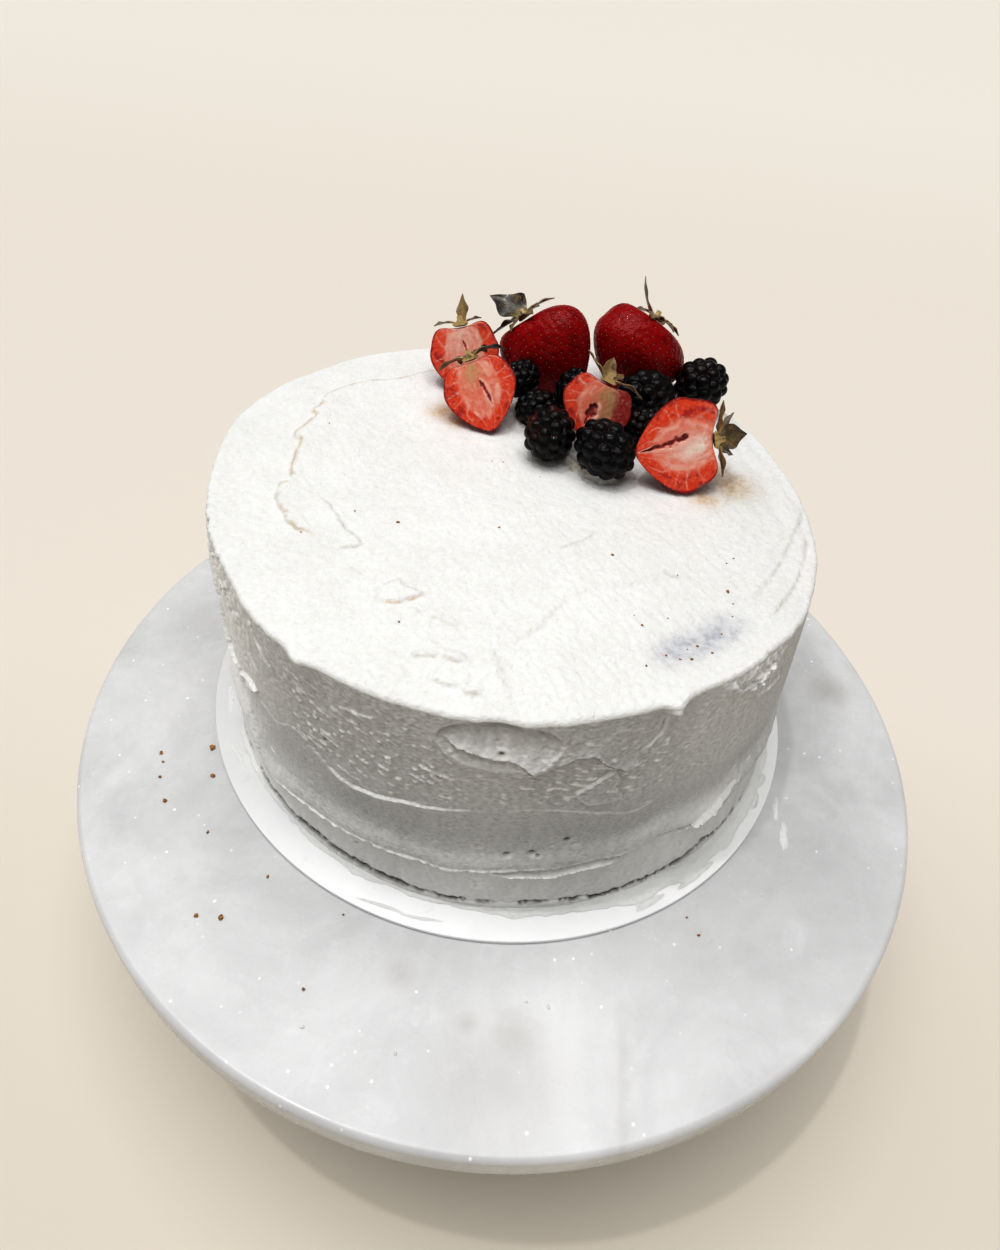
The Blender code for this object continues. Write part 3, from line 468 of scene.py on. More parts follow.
def path_reach(u, v, path, reach, smooth=True):
    """Signed distance from each place to a path, positive on its left, and how far along it from 0 to 1.

    Places further than reach from the path's box get an infinite distance.
    """
    line = smooth_line(path) if smooth else np.array(path, float)
    signed = np.full(u.shape, np.inf)
    along = np.zeros(u.shape)
    near = (u > line[:, 0].min() - reach) & (u < line[:, 0].max() + reach)
    near &= (v > line[:, 1].min() - reach) & (v < line[:, 1].max() + reach)
    places = np.stack([u[near], v[near]], axis=-1)
    if not len(places):
        return signed, along
    start, step = line[:-1], line[1:] - line[:-1]
    length = np.maximum((step**2).sum(-1), 1e-12)
    found = np.zeros((len(places), 2))
    batch = 8000
    for first in range(0, len(places), batch):
        some = places[first:first + batch]
        off = some[:, None] - start[None]
        part = np.clip((off * step).sum(-1) / length, 0, 1)
        off = off - part[..., None] * step
        distance = np.hypot(off[..., 0], off[..., 1])
        best = distance.argmin(axis=1)
        row = np.arange(len(some))
        off, part = off[row, best], part[row, best]
        left = np.sign(step[best, 0] * off[:, 1] - step[best, 1] * off[:, 0])
        found[first:first + batch, 0] = distance[row, best] * np.where(left == 0, 1, left)
        found[first:first + batch, 1] = (best + part) / len(start)
    signed[near] = found[:, 0]
    along[near] = found[:, 1]
    return signed, along


def reach_of(u, v, path, reach, smooth=True):
    """As path_reach, with a large distance instead of an infinite one."""
    signed, along = path_reach(u, v, path, reach, smooth)
    return np.where(np.isfinite(signed), signed, FAR_OFF), along


def inside_reach(u, v, outline):
    """Distance from each place to a closed outline, positive inside it."""
    closed = np.array(list(outline) + [outline[0]], float)
    signed, _ = path_reach(u, v, closed, OUTLINE_REACH, smooth=False)
    distance = np.abs(signed)
    inside = np.zeros(u.shape, bool)
    for (x0, y0), (x1, y1) in zip(closed, closed[1:]):
        if y0 == y1:
            continue
        crosses = (y0 > v) != (y1 > v)
        inside ^= crosses & (u < (x1 - x0) * (v - y0) / (y1 - y0) + x0)
    return np.where(inside, distance, -distance)


def ends_faded(along, share=FADED_ENDS):
    """1 along a path, and fading to 0 over a share of it at each end."""
    return ramp(along, 0.0, share) * (1 - ramp(along, 1 - share, 1.0))


def step_mark(u, v, path, rise, tail, side=1, sharp=0.7):
    """A knife mark: it stands up on one side of a path with a sharp edge, and sinks back over its tail."""
    signed, along = path_reach(u, v, path, 4 * tail)
    over = signed * side
    shown = np.isfinite(over)
    over = np.where(shown, over, 0.0)
    shape = ramp(over, -sharp, 0.0) * np.exp(-np.maximum(over, 0.0) / tail)
    return np.where(shown, rise * shape * ends_faded(along), 0.0)


def make_mesh(name, shape, material, colours=None, sharp_degrees=60.0, kinds=None):
    """An object from points, quads and triangles, shaded smooth.

    colours are linear values for each point, and kinds say which of several materials each face has.
    """
    points, quads, triangles = shape
    mesh = bpy.data.meshes.new(name)
    mesh.from_pydata(points, (), [*np.asarray(quads).tolist(), *np.asarray(triangles).tolist()])
    if kinds is not None:
        mesh.polygons.foreach_set("material_index", np.asarray(kinds, np.int32))
    mesh.validate()
    mesh.shade_smooth()
    mesh.set_sharp_from_angle(angle=math.radians(sharp_degrees))
    if colours is not None:
        layer = mesh.attributes.new("tint", "FLOAT_COLOR", "POINT")
        tints = np.ones((len(points), 4), np.float32)
        tints[:, :3] = colours
        layer.data.foreach_set("color", tints.ravel())
    for each in material if isinstance(material, list) else [material]:
        mesh.materials.append(each)
    return in_scene(name, mesh)


def in_scene(name, data):
    """An object in the scene, of a mesh, a light or a camera."""
    made = bpy.data.objects.new(name, data)
    bpy.context.scene.collection.objects.link(made)
    return made


def add_piece(name, shape, material, slot=None, stands_for=None, **how):
    """A piece of the object. All of it is one rigid body, so each piece rides on root."""
    made = make_mesh(name, shape, material, **how)
    if stands_for:
        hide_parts(stands_for)
    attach(made, "root")


def ring_quads(rows, count, first=0, closed=True):
    """Quads between rows of points, each row so many points long and closed on itself or not."""
    i = np.arange(count if closed else count - 1)
    j = (i + 1) % count
    low = first + np.arange(rows - 1)[:, None] * count
    return np.stack([low + i, low + j, low + count + j, low + count + i], axis=-1).reshape(-1, 4)


def bridge(first, second, count):
    """Quads between two rings of so many points, which start at these numbers."""
    i = np.arange(count)
    j = (i + 1) % count
    return np.stack([first + i, first + j, second + j, second + i], axis=-1)


def fan(middle, ring, upwards=True):
    """Triangles from a middle point to a ring of point numbers."""
    ring = np.asarray(ring)
    after = np.roll(ring, -1)
    centre = np.full(len(ring), middle)
    order = (centre, ring, after) if upwards else (centre, after, ring)
    return np.stack(order, axis=-1)


def closed_rings(rings, first_pole, last_pole):
    """Points, quads and triangles of a closed surface through equal rings, with a pole at each end."""
    rings = np.asarray(rings, float)
    rows, count = rings.shape[:2]
    points = np.concatenate([rings.reshape(-1, 3), [first_pole, last_pole]])
    quads = ring_quads(rows, count)
    pole = rows * count
    triangles = np.concatenate([
        fan(pole, np.arange(count), upwards=False),
        fan(pole + 1, (rows - 1) * count + np.arange(count)),
    ])
    return points, quads, triangles


def turned(profile, segments):
    """Points, quads and triangles of a profile of (radius, height) turned round the Z axis."""
    turns = np.linspace(0, 2 * np.pi, segments, endpoint=False)
    profile = np.array(profile, float)
    rings = np.stack([
        profile[:, :1] * np.cos(turns), profile[:, :1] * np.sin(turns),
        np.repeat(profile[:, 1:], segments, axis=1),
    ], axis=-1)
    return closed_rings(rings, (0, 0, profile[0, 1]), (0, 0, profile[-1, 1]))


def placed(points, matrix):
    """Points moved by a matrix."""
    matrix = np.array(matrix)
    return np.asarray(points, float) @ matrix[:3, :3].T + matrix[:3, 3]


def joined(parts):
    """Points, quads and triangles of several shapes as one."""
    points, quads, triangles = [], [], []
    first = 0
    for some_points, some_quads, some_triangles in parts:
        points.append(some_points)
        quads.append(np.asarray(some_quads, int).reshape(-1, 4) + first)
        triangles.append(np.asarray(some_triangles, int).reshape(-1, 3) + first)
        first += len(some_points)
    return np.concatenate(points), np.concatenate(quads), np.concatenate(triangles)


def arc_profile(centre, radii, start, end, steps):
    """Points of a part of an ellipse, from one angle in degrees to another."""
    angles = np.radians(np.linspace(start, end, steps + 1))
    return [(centre[0] + radii[0] * math.cos(a), centre[1] + radii[1] * math.sin(a)) for a in angles]


# --- Materials ---


MIX_FACTOR, MIX_FIRST, MIX_SECOND, MIX_RESULT = 0, 6, 7, 2  # a Mix node's sockets when it mixes colours


class Look:
    """A material in the making, with its patterns in the object's own coordinates, in metres."""

    def __init__(self, name, **shader_values):
        """A new material, with values for its shader's sockets."""
        self.material = bpy.data.materials.new(name)
        self.material.use_nodes = True
        self.tree = self.material.node_tree
        self.sockets = self.tree.nodes["Principled BSDF"].inputs
        for socket, value in shader_values.items():
            self.sockets[socket.replace("_", " ")].default_value = value
        self.place = self.node("ShaderNodeTexCoord").outputs["Object"]
        self.base = None

    def put(self, value, socket):
        """Links another socket to this one, or sets its value."""
        if isinstance(value, bpy.types.NodeSocket):
            self.tree.links.new(value, socket)
        elif socket.type == "RGBA":
            socket.default_value = (*value, 1.0)
        else:
            socket.default_value = value

    def node(self, kind, inputs=None, **settings):
        """A shader node with its inputs, named or numbered, set or linked."""
        made = self.tree.nodes.new(kind)
        for name, value in settings.items():
            setattr(made, name, value)
        for name, value in (inputs or {}).items():
            self.put(value, made.inputs[name])
        return made

    def noise(self, scale, detail=4.0, roughness=0.55, distortion=0.0, place=None):
        """Noise between 0 and 1 over the object."""
        place = self.place if place is None else place
        inputs = {"Vector": place, "Scale": scale, "Detail": detail, "Roughness": roughness,
                  "Distortion": distortion}
        return self.node("ShaderNodeTexNoise", inputs).outputs["Fac"]

    def tint(self):
        """The colour that the mesh gives each of its points."""
        return self.node("ShaderNodeAttribute", attribute_name="tint").outputs["Color"]

    def share(self, factor, low, high, start=0.0, end=1.0):
        """A factor between low and high, spread from start to end."""
        inputs = {"Value": factor, "From Min": low, "From Max": high, "To Min": start, "To Max": end}
        return self.node("ShaderNodeMapRange", inputs).outputs["Result"]

    def maths(self, operation, first, second=0.0):
        """The result of one Math node."""
        return self.node("ShaderNodeMath", {0: first, 1: second}, operation=operation).outputs["Value"]

    def stops(self, factor, *stops):
        """Makes the base a colour ramp over a factor, from (place, colour) stops."""
        made = self.node("ShaderNodeValToRGB", {"Fac": factor})
        marks = made.color_ramp.elements
        while len(marks) < len(stops):
            marks.new(0.5)
        for mark, (place, colour) in zip(marks, stops):
            mark.position = place
            mark.color = (*colour, 1.0)
        self.base = made.outputs["Color"]

    def mix(self, factor, colour, blend="MIX"):
        """Lays a colour over the base, as much as the factor says."""
        inputs = {MIX_FACTOR: factor, MIX_FIRST: self.base, MIX_SECOND: colour}
        made = self.node("ShaderNodeMix", inputs, data_type="RGBA", blend_type=blend)
        self.base = made.outputs[MIX_RESULT]

    def paint(self, colour, factor, *span, blend="MIX"):
        """Lays a colour over the base by a factor, spread as share says."""
        self.mix(self.share(factor, *span), colour, blend)

    def rough(self, noise, low, high):
        """Lets the roughness vary from low to high."""
        self.put(self.share(noise, 0.3, 0.7, low, high), self.sockets["Roughness"])

    def relief(self, height, distance, strength, after=None):
        """A bump of so many metres from a height between 0 and 1, on top of an earlier one or not."""
        inputs = {"Height": height, "Distance": distance, "Strength": strength}
        if after is not None:
            inputs["Normal"] = after
        bumped = self.node("ShaderNodeBump", inputs).outputs["Normal"]
        self.put(bumped, self.sockets["Normal"])
        return bumped

    def done(self):
        """The material, with its base colour linked."""
        self.put(self.base, self.sockets["Base Color"])
        return self.material


def marble_material():
    """Pale grey crystalline marble: soft clouds, bright grains, a few soft dark spots, a painted shadow of
    the cake at its right, and a faint vein.
    """
    look = Look("marble_polished", Specular_IOR_Level=0.5)
    look.stops(look.noise(11.0, 7.0, 0.62, 0.8), (0.34, (0.585, 0.585, 0.59)),
               (0.50, (0.67, 0.67, 0.675)), (0.66, (0.745, 0.745, 0.75)))
    wisps = look.noise(34.0, 6.0, 0.7, 1.4)
    look.paint((0.80, 0.80, 0.81), wisps, 0.56, 0.78, 0.0, 0.45)
    mottle = look.noise(150.0, 3.0, 0.6)
    look.paint((0.50, 0.50, 0.49), mottle, 0.35, 0.65, 0.0, 0.12)
    # the last spot is a painted shadow of the cake on the marble, right of the board
    for x, y, radius, strength in MARBLE_SPOTS_AND_SHADOW:
        inputs = {0: look.place, 1: (x, y, PLATE_TOP)}
        distance = look.node("ShaderNodeVectorMath", inputs, operation="DISTANCE").outputs["Value"]
        spread = look.maths("ADD", distance, look.maths("MULTIPLY", mottle, radius * 0.9))
        look.paint((0.36, 0.34, 0.31), spread, radius * 0.5, radius * 1.5, strength, 0.0)
    apart = look.node("ShaderNodeSeparateXYZ", {"Vector": look.place}).outputs
    sway = look.maths("MULTIPLY", look.maths("SUBTRACT", wisps, 0.5), 0.010)
    across = look.maths("ADD", look.maths("SUBTRACT", apart["X"], MARBLE_VEIN_X), sway)
    line = look.share(look.maths("ABSOLUTE", across), 0.0004, 0.0022, 0.22, 0.0)
    look.mix(look.maths("MULTIPLY", line, look.share(apart["Y"], -0.110, -0.135)), (0.46, 0.45, 0.42))
    grains = look.node("ShaderNodeTexVoronoi", {"Vector": look.place, "Scale": 330.0}).outputs
    chosen = look.node("ShaderNodeSeparateColor", {"Color": grains["Color"]}).outputs["Red"]
    bright = look.maths("MULTIPLY", look.share(grains["Distance"], 0.10, 0.22, 1.0, 0.0),
                        look.share(chosen, 0.90, 0.96))
    look.mix(bright, (0.98, 0.98, 0.98))
    look.rough(look.noise(60.0, 3.0), 0.20, 0.34)
    look.relief(look.noise(700.0, 2.0), 0.00003, 0.5)
    return look.done()


def card_material():
    """White laminated card with a faint pressed grain, and painted shade that makes it darker at the left
    and back.
    """
    look = Look("board_laminate", Specular_IOR_Level=0.5)
    look.stops(look.noise(45.0), (0.35, (0.90, 0.905, 0.91)), (0.65, (0.95, 0.95, 0.955)))
    look.mix(1.0, look.tint(), "MULTIPLY")
    look.rough(look.noise(90.0), 0.26, 0.40)
    look.relief(look.noise(900.0, 2.0), 0.00004, 0.6)
    return look.done()


def icing_material(name, tinted=True):
    """Whipped buttercream: off-white and soft, with fine air holes and a grain drawn out by the knife."""
    look = Look(name, Specular_IOR_Level=0.35, Subsurface_Weight=0.12, Subsurface_Scale=0.003,
                Subsurface_Radius=(1.0, 0.9, 0.75))
    look.stops(look.noise(40.0, 5.0, 0.6), (0.35, (0.865, 0.865, 0.845)), (0.65, (0.905, 0.905, 0.89)))
    stretch = {"Vector": look.place, "Scale": (1.0, 1.0, 1.8)}
    drawn = look.node("ShaderNodeMapping", stretch).outputs["Vector"]
    if tinted:
        tint = look.tint()
        look.mix(1.0, tint, "MULTIPLY")
        look.paint(tint, look.noise(750.0, 3.0, 0.6, place=drawn), 0.44, 0.62, 0.0, 0.60, blend="MULTIPLY")
    look.rough(look.noise(160.0, 3.0), 0.42, 0.62)
    first = look.relief(look.noise(560.0, 4.0, 0.62, 0.4, place=drawn), 0.00055, 0.9)
    holes = look.node("ShaderNodeTexVoronoi", {"Vector": look.place, "Scale": 420.0}).outputs["Distance"]
    look.relief(look.share(holes, 0.10, 0.30), 0.00015, 0.6, after=first)
    return look.done()


def flesh_material():
    """Moist cut strawberry: the tint of each place, with fine pale fibres."""
    look = Look("strawberry_cut", Specular_IOR_Level=0.5, Subsurface_Weight=0.10, Subsurface_Scale=0.0015,
                Subsurface_Radius=(1.0, 0.35, 0.25), Coat_Weight=0.25, Coat_Roughness=0.18)
    look.base = look.tint()
    fibres = look.noise(900.0, 3.0, 0.6)
    look.paint(srgb(236, 190, 172), fibres, 0.52, 0.74, 0.0, 0.35)
    look.paint(srgb(170, 38, 30), fibres, 0.46, 0.28, 0.0, 0.30)
    look.rough(look.noise(300.0), 0.28, 0.48)
    look.relief(fibres, 0.00018, 0.6)
    return look.done()


def skin_material():
    """Glossy strawberry skin, darker and lighter in patches, with a fine pebbled sheen."""
    look = Look("strawberry_gloss", Specular_IOR_Level=0.06, Coat_Weight=0.17, Coat_Roughness=0.05)
    look.base = look.tint()
    patches = look.noise(170.0, 4.0, 0.6)
    look.paint(srgb(170, 26, 20), patches, 0.54, 0.74, 0.0, 0.4)
    look.paint(srgb(82, 0, 3), patches, 0.48, 0.30, 0.0, 0.6)
    look.rough(look.noise(500.0), 0.25, 0.45)
    look.put(look.relief(look.noise(430.0, 3.0), 0.00070, 0.9), look.sockets["Coat Normal"])
    return look.done()


def seed_material():
    """Small glossy seeds between red and straw."""
    look = Look("strawberry_seed", Roughness=0.25, Coat_Weight=0.8, Coat_Roughness=0.08)
    look.stops(look.noise(300.0), (0.38, srgb(112, 10, 8)), (0.56, srgb(144, 32, 20)),
               (0.72, srgb(176, 86, 54)))
    return look.done()


def leaf_material():
    """Wilted sepals: the tint of each place, mottled, with a moist sheen."""
    look = Look("calyx_leaf_wilted", Specular_IOR_Level=0.4, Roughness=0.36, Coat_Weight=0.2,
                Coat_Roughness=0.15)
    look.base = look.tint()
    mottle = look.noise(420.0, 4.0, 0.65)
    look.paint(srgb(176, 142, 88), mottle, 0.52, 0.74, 0.0, 0.55)
    look.paint(srgb(46, 40, 33), mottle, 0.47, 0.32, 0.0, 0.75)
    look.relief(look.noise(1000.0, 3.0), 0.00030, 0.9)
    return look.done()


def bramble_material():
    """Near-black glossy drupelets, dark red in the valleys of the less ripe ones."""
    look = Look("bramble_gloss", Specular_IOR_Level=0.10, Roughness=0.35, Coat_Weight=0.24,
                Coat_Roughness=0.05)
    look.base = look.tint()
    look.paint(srgb(14, 9, 11), look.noise(380.0, 3.0), 0.5, 0.75, 0.0, 0.4)
    look.put(look.relief(look.noise(520.0, 2.0), 0.00055, 0.9), look.sockets["Coat Normal"])
    return look.done()


def crumb_material():
    """Brown sponge."""
    look = Look("cake_crumb", Roughness=0.8)
    look.stops(look.noise(1400.0), (0.35, srgb(112, 70, 30)), (0.65, srgb(196, 140, 74)))
    look.relief(look.noise(2500.0), 0.0002, 0.8)
    return look.done()


# --- Stand and board ---


def make_foot(material):
    """The foot, turned with a waist."""
    flare_height = FOOT_TOP - 0.007 - FOOT_NECK
    eased, rounded = 0.0015, 0.002
    profile = [(FOOT_BASE_RADIUS - eased, 0.0)]
    profile += arc_profile((FOOT_BASE_RADIUS - eased, eased), (eased, eased), -90, 0, 4)[1:]
    corner = (FOOT_BASE_RADIUS - rounded, FOOT_BASE_THICKNESS - rounded)
    profile += arc_profile(corner, (rounded, rounded), 0, 90, 6)
    sweep_in = FOOT_BASE_RADIUS - 0.006 - FOOT_WAIST_RADIUS
    profile += arc_profile((FOOT_WAIST_RADIUS + sweep_in, FOOT_NECK + 0.001),
                           (sweep_in, FOOT_NECK - FOOT_BASE_THICKNESS), -90, -180, 24)
    sweep_out = FOOT_TOP_RADIUS - FOOT_WAIST_RADIUS
    profile += arc_profile((FOOT_TOP_RADIUS, FOOT_NECK + 0.002), (sweep_out, flare_height), 180, 90, 24)
    profile += [(FOOT_TOP_RADIUS + 0.001, FOOT_TOP)]
    add_piece("marble_foot", turned(profile, FOOT_SEGMENTS), material, "marble", "stand_foot",
              sharp_degrees=STONE_SHARP)


def make_plate(material):
    """The round marble plate with its eased edge."""
    height = PLATE_TOP - PLATE_BOTTOM
    eased = 0.0012
    profile = arc_profile((PLATE_RADIUS - eased, eased), (eased, eased), -90, 0, 4)
    corner = (PLATE_RADIUS - PLATE_EASED_EDGE, height - PLATE_EASED_EDGE)
    profile += arc_profile(corner, (PLATE_EASED_EDGE, PLATE_EASED_EDGE), 0, 90, 10)
    profile = [(radius, level + PLATE_BOTTOM) for radius, level in profile]
    add_piece("marble_plate", turned(profile, TURNED_SEGMENTS), material, "marble", "stand_plate",
              sharp_degrees=STONE_SHARP)


def make_board(material):
    """The round card board under the cake, its cut edge a little soft."""
    low, high = BOARD_LOW.z, BOARD_HIGH.z
    edge = (high - low) / 4
    profile = arc_profile((BOARD_RADIUS - edge, low + edge), (edge, edge), -90, 0, 4)
    profile += arc_profile((BOARD_RADIUS - edge, high - edge), (edge, edge), 0, 90, 4)
    points, quads, triangles = turned(profile, TURNED_SEGMENTS)
    around = np.degrees(np.arctan2(points[:, 1], points[:, 0]))
    # painted shade round the board: darker at the left and back than at the front and right
    tints = np.repeat(spline(around, BOARD_SHADE_TONES)[:, None], 3, axis=1)
    shape = (points + (*BOARD_CENTRE, 0.0), quads, triangles)
    add_piece("board", shape, material, "board_card", "cake_board", colours=tints, sharp_degrees=STONE_SHARP)


# --- Icing ---


def ledge_height(angle, ledge):
    """Height above the board of a ledge as it goes round the cake in waves."""
    height, swing, waves = ledge
    turn = np.radians(angle)
    return height + swing * sum(part * np.cos(count * turn + start) for part, count, start in waves)


def line_height(angle, line, ledge):
    """Height of a knife line above the board: the drawn one at the front, and elsewhere its ledge."""
    beyond = 8.0
    points = [(line[0][0] - beyond, 0.0)]
    for at, level in line:
        points.append((at, level * MM - CAKE_OVER_PLATE - float(ledge_height(at, ledge))))
    points.append((line[-1][0] + beyond, 0.0))
    return ledge_height(angle, ledge) + spline(angle, points)


def scoop(angle, height):
    """How far the scoop cuts in, deepest just under its upper edge, with a lip along its lower one."""
    across = np.clip(turn_between(angle, SCOOP_ANGLE) / SCOOP_HALF_WIDTH, -1, 1)
    lens = np.sqrt(np.maximum(1 - across * across, 1e-6))
    middle = (SCOOP_TOP + SCOOP_BOTTOM) / 2
    half = (SCOOP_TOP - SCOOP_BOTTOM) / 2
    down = (middle + half * lens - height) / (2 * half * lens)
    edge = SCOOP_DEPTH * lens * ramp(down, 0.0, SCOOP_DEEPEST)
    part = (down - SCOOP_DEEPEST) / (1 - SCOOP_DEEPEST)
    floor = (SCOOP_DEPTH + (-SCOOP_LIP - SCOOP_DEPTH) * part) * lens
    lip = -SCOOP_LIP * lens * (1 - ramp(down, 1.0, SCOOP_END))
    cut = np.where(down < SCOOP_DEEPEST, edge, np.where(down < 1, floor, lip))
    return np.where((np.abs(across) < 1) & (down > 0) & (down < SCOOP_END), cut, 0.0)


def on_side(points):
    """Places on the side as mm round it from its front, and mm above the marble."""
    return [(math.radians(at + 90) * SIDE_RADIUS_MM, high) for at, high in points]


def mm_from(angle, middle):
    """How many mm round the side each angle is from a middle one."""
    return np.radians(turn_between(angle, middle)) * SIDE_RADIUS_MM


def mm_over_plate(height):
    """Heights above the board, as mm above the marble."""
    return (height + CAKE_OVER_PLATE) / MM


def dashes(angle, height):
    """Short raised dashes that the knife left in the upper icing, most of them at the front left."""
    level = mm_over_plate(height)
    left_part = ramp(angle, -130, -120) * (1 - ramp(angle, -99, -91)) * bump(level - 68, 16)
    right_part = ramp(angle, -92, -84) * (1 - ramp(angle, -64, -56)) * bump(level - 70, 12)
    shown = ramp(side_noise(angle, height + angle * SLANT, 256, 0.0008, 24), 0.46, 0.76)
    return shown * (left_part + 0.5 * right_part + 0.10 * ramp(level, 50, 60))


def pit_distance(angle, level, at, high):
    """Distance in mm from a pit that is a little wider than high."""
    return np.hypot(mm_from(angle, at) * 0.7, level - high)


def side_marks(angle, height):
    """The fine marks of the side, in mm: how far they stand out."""
    u = mm_from(angle, -90)
    level = mm_over_plate(height)
    wobble = side_noise(angle, height, 384, 0.004, 21) * 0.35
    reach = 6.0
    out = np.zeros(angle.shape)
    out += step_mark(u, level + wobble, on_side(FLAP_EDGE), 1.7, 5.0, sharp=0.35)
    out += step_mark(u, level + wobble, on_side(SCOOP_STROKE), -0.6, 2.0)
    for path, rise, tail in SIDE_STROKES:
        out += step_mark(u, level + wobble, on_side(path), 1.4 * rise, tail, side=-1, sharp=0.35)
    strip, along = reach_of(u, level + 0.8 * wobble, on_side(STRIP), reach)
    out += 2.0 * ramp(-strip, -0.5, 0.0) * np.exp(-np.maximum(-strip, 0.0) / 0.9) * ends_faded(along, 0.2)
    strip, along = reach_of(u, level + 2.2 * wobble, on_side(RIGHT_STRIP), reach)
    taper = ends_faded(along, 0.42)
    out += 2.6 * ramp(-strip, 0.0, 0.4) * np.exp(-np.maximum(-strip, 0.0) / (0.5 + 1.3 * taper)) * taper
    bead, along = reach_of(u, level + 0.6 * wobble, on_side(LOWER_LINE), reach)
    lower_here = 1 - 0.6 * bump(turn_between(angle, -77), 12)
    out += 0.75 * bump(bead - 0.3, 0.5) * ends_faded(along) * lower_here
    crack, along = reach_of(u, level + wobble, on_side(RIM_CRACK), reach)
    broken = ramp(side_noise(angle, height, 256, 0.0022, 37), 0.0, 0.6)
    out += (0.35 * broken * bump(crack - 0.8, 0.5) - 1.0 * bump(crack, 0.5)) * ends_faded(along, 0.2)
    for outline, rise, edge in SIDE_FLAKES:
        within = inside_reach(u, level, on_side(outline))
        out += rise * ramp(within + 0.7 * wobble, 0.0, edge) * (1 - 0.35 * ramp(within, edge, 5 * edge))
    for at, high, depth, width in SIDE_PITS:
        out -= depth * bump(pit_distance(angle, level, at, high), width)
    upper = ramp(level, 50, 60)
    slant = height + angle * SLANT
    grain = side_noise(angle, slant, 448, 0.0013, 22) + 0.6 * side_noise(angle, slant, 704, 0.0009, 23)
    out += grain * (0.055 + 0.065 * upper)
    out += 0.52 * dashes(angle, height)
    patchy = ramp(side_noise(angle, height, 64, 0.016, 36), -0.1, 0.4)
    nicks = side_noise(angle, height, 288, 0.0013, 25) * patchy
    out -= 0.32 * ramp(nicks, 0.62, 0.85) * ramp(level, 8, 14)
    for at, high, wide, tall in ROUGH_SIDES:
        rough = bump(turn_between(angle, at), wide) * bump(level - high, tall)
        out += rough * 0.9 * side_noise(angle, height, 480, 0.0016, 26)
        out -= rough * 0.9 * ramp(side_noise(angle, height, 384, 0.0020, 27), 0.2, 0.6)
    out += 0.35 * side_noise(angle, height, 64, 0.030, 28) + 0.18 * side_noise(angle, height, 160, 0.010, 29)
    return out


def seam_line(angle):
    """Height above the board of the open seam under the icing, and how open it is."""
    level = np.zeros_like(angle)
    low = 0.0027 + 0.0010 * side_noise(angle, level, 64, 1.0, 31)
    low = low + 0.0005 * side_noise(angle, level, 416, 1.0, 32)
    wide = 0.34 + 0.40 * side_noise(angle, level, 192, 1.0, 33)
    wide = wide + 0.75 * bump(turn_between(angle, -121), 17) + 0.45 * bump(turn_between(angle, -47), 9)
    return low, np.clip(wide, 0.10, 1.0)


def cake_axis(height):
    """The middle of the leaning cake at a height."""
    part = height / CAKE_HEIGHT
    return [low + (high - low) * part for low, high in zip(CAKE_BOTTOM_CENTRE, CAKE_TOP_CENTRE)]


def cake_radius(angle, height):
    """The icing's distance from its own axis, for arrays of angles in degrees and heights."""
    part = height / CAKE_HEIGHT
    radius = CAKE_BOTTOM_RADIUS + (CAKE_TOP_RADIUS - CAKE_BOTTOM_RADIUS) * part
    for middle, rise, width in OUTLINE_BUMPS:
        radius = radius + rise * bump(turn_between(angle, middle), width) * ramp(part, -0.2, 0.9)
    jagged = 0.00022 * side_noise(angle, height * 0, 288, 1.0, 34)
    low = line_height(angle, LOWER_LINE, LOWER_LEDGE) + jagged
    high = line_height(angle, UPPER_LINE, UPPER_LEDGE) + 0.5 * jagged
    above = ramp(height, low, low + 0.0005)
    radius += LOWER_LEDGE_DEPTH * above * (1 - ramp(height, low + 0.001, low + 0.009))
    radius -= SIDE_HOLLOW * above * bump(height - (low + high) / 2, (high - low) / 3)
    radius -= 0.0004 * (1 - above) * bump(height - low / 2, low / 3)
    ledge = UPPER_LEDGE_DEPTH * spline(angle, UPPER_LEDGE_SHARE)
    radius += ledge * ramp(height, high - 0.004, high) * (1 - ramp(height, high, high + 0.0004))
    for middle, level, rise, width, tall in SIDE_PATS:
        radius += rise * bump(turn_between(angle, middle), width) * bump(height - level, tall)
    seam, wide = seam_line(angle)
    radius -= 0.0030 * wide * bump(height - seam, 0.00055 + 0.0006 * wide)
    radius -= scoop(angle, height)
    return radius + side_marks(angle, height) * MM * ramp(height, 0.0, 0.004)


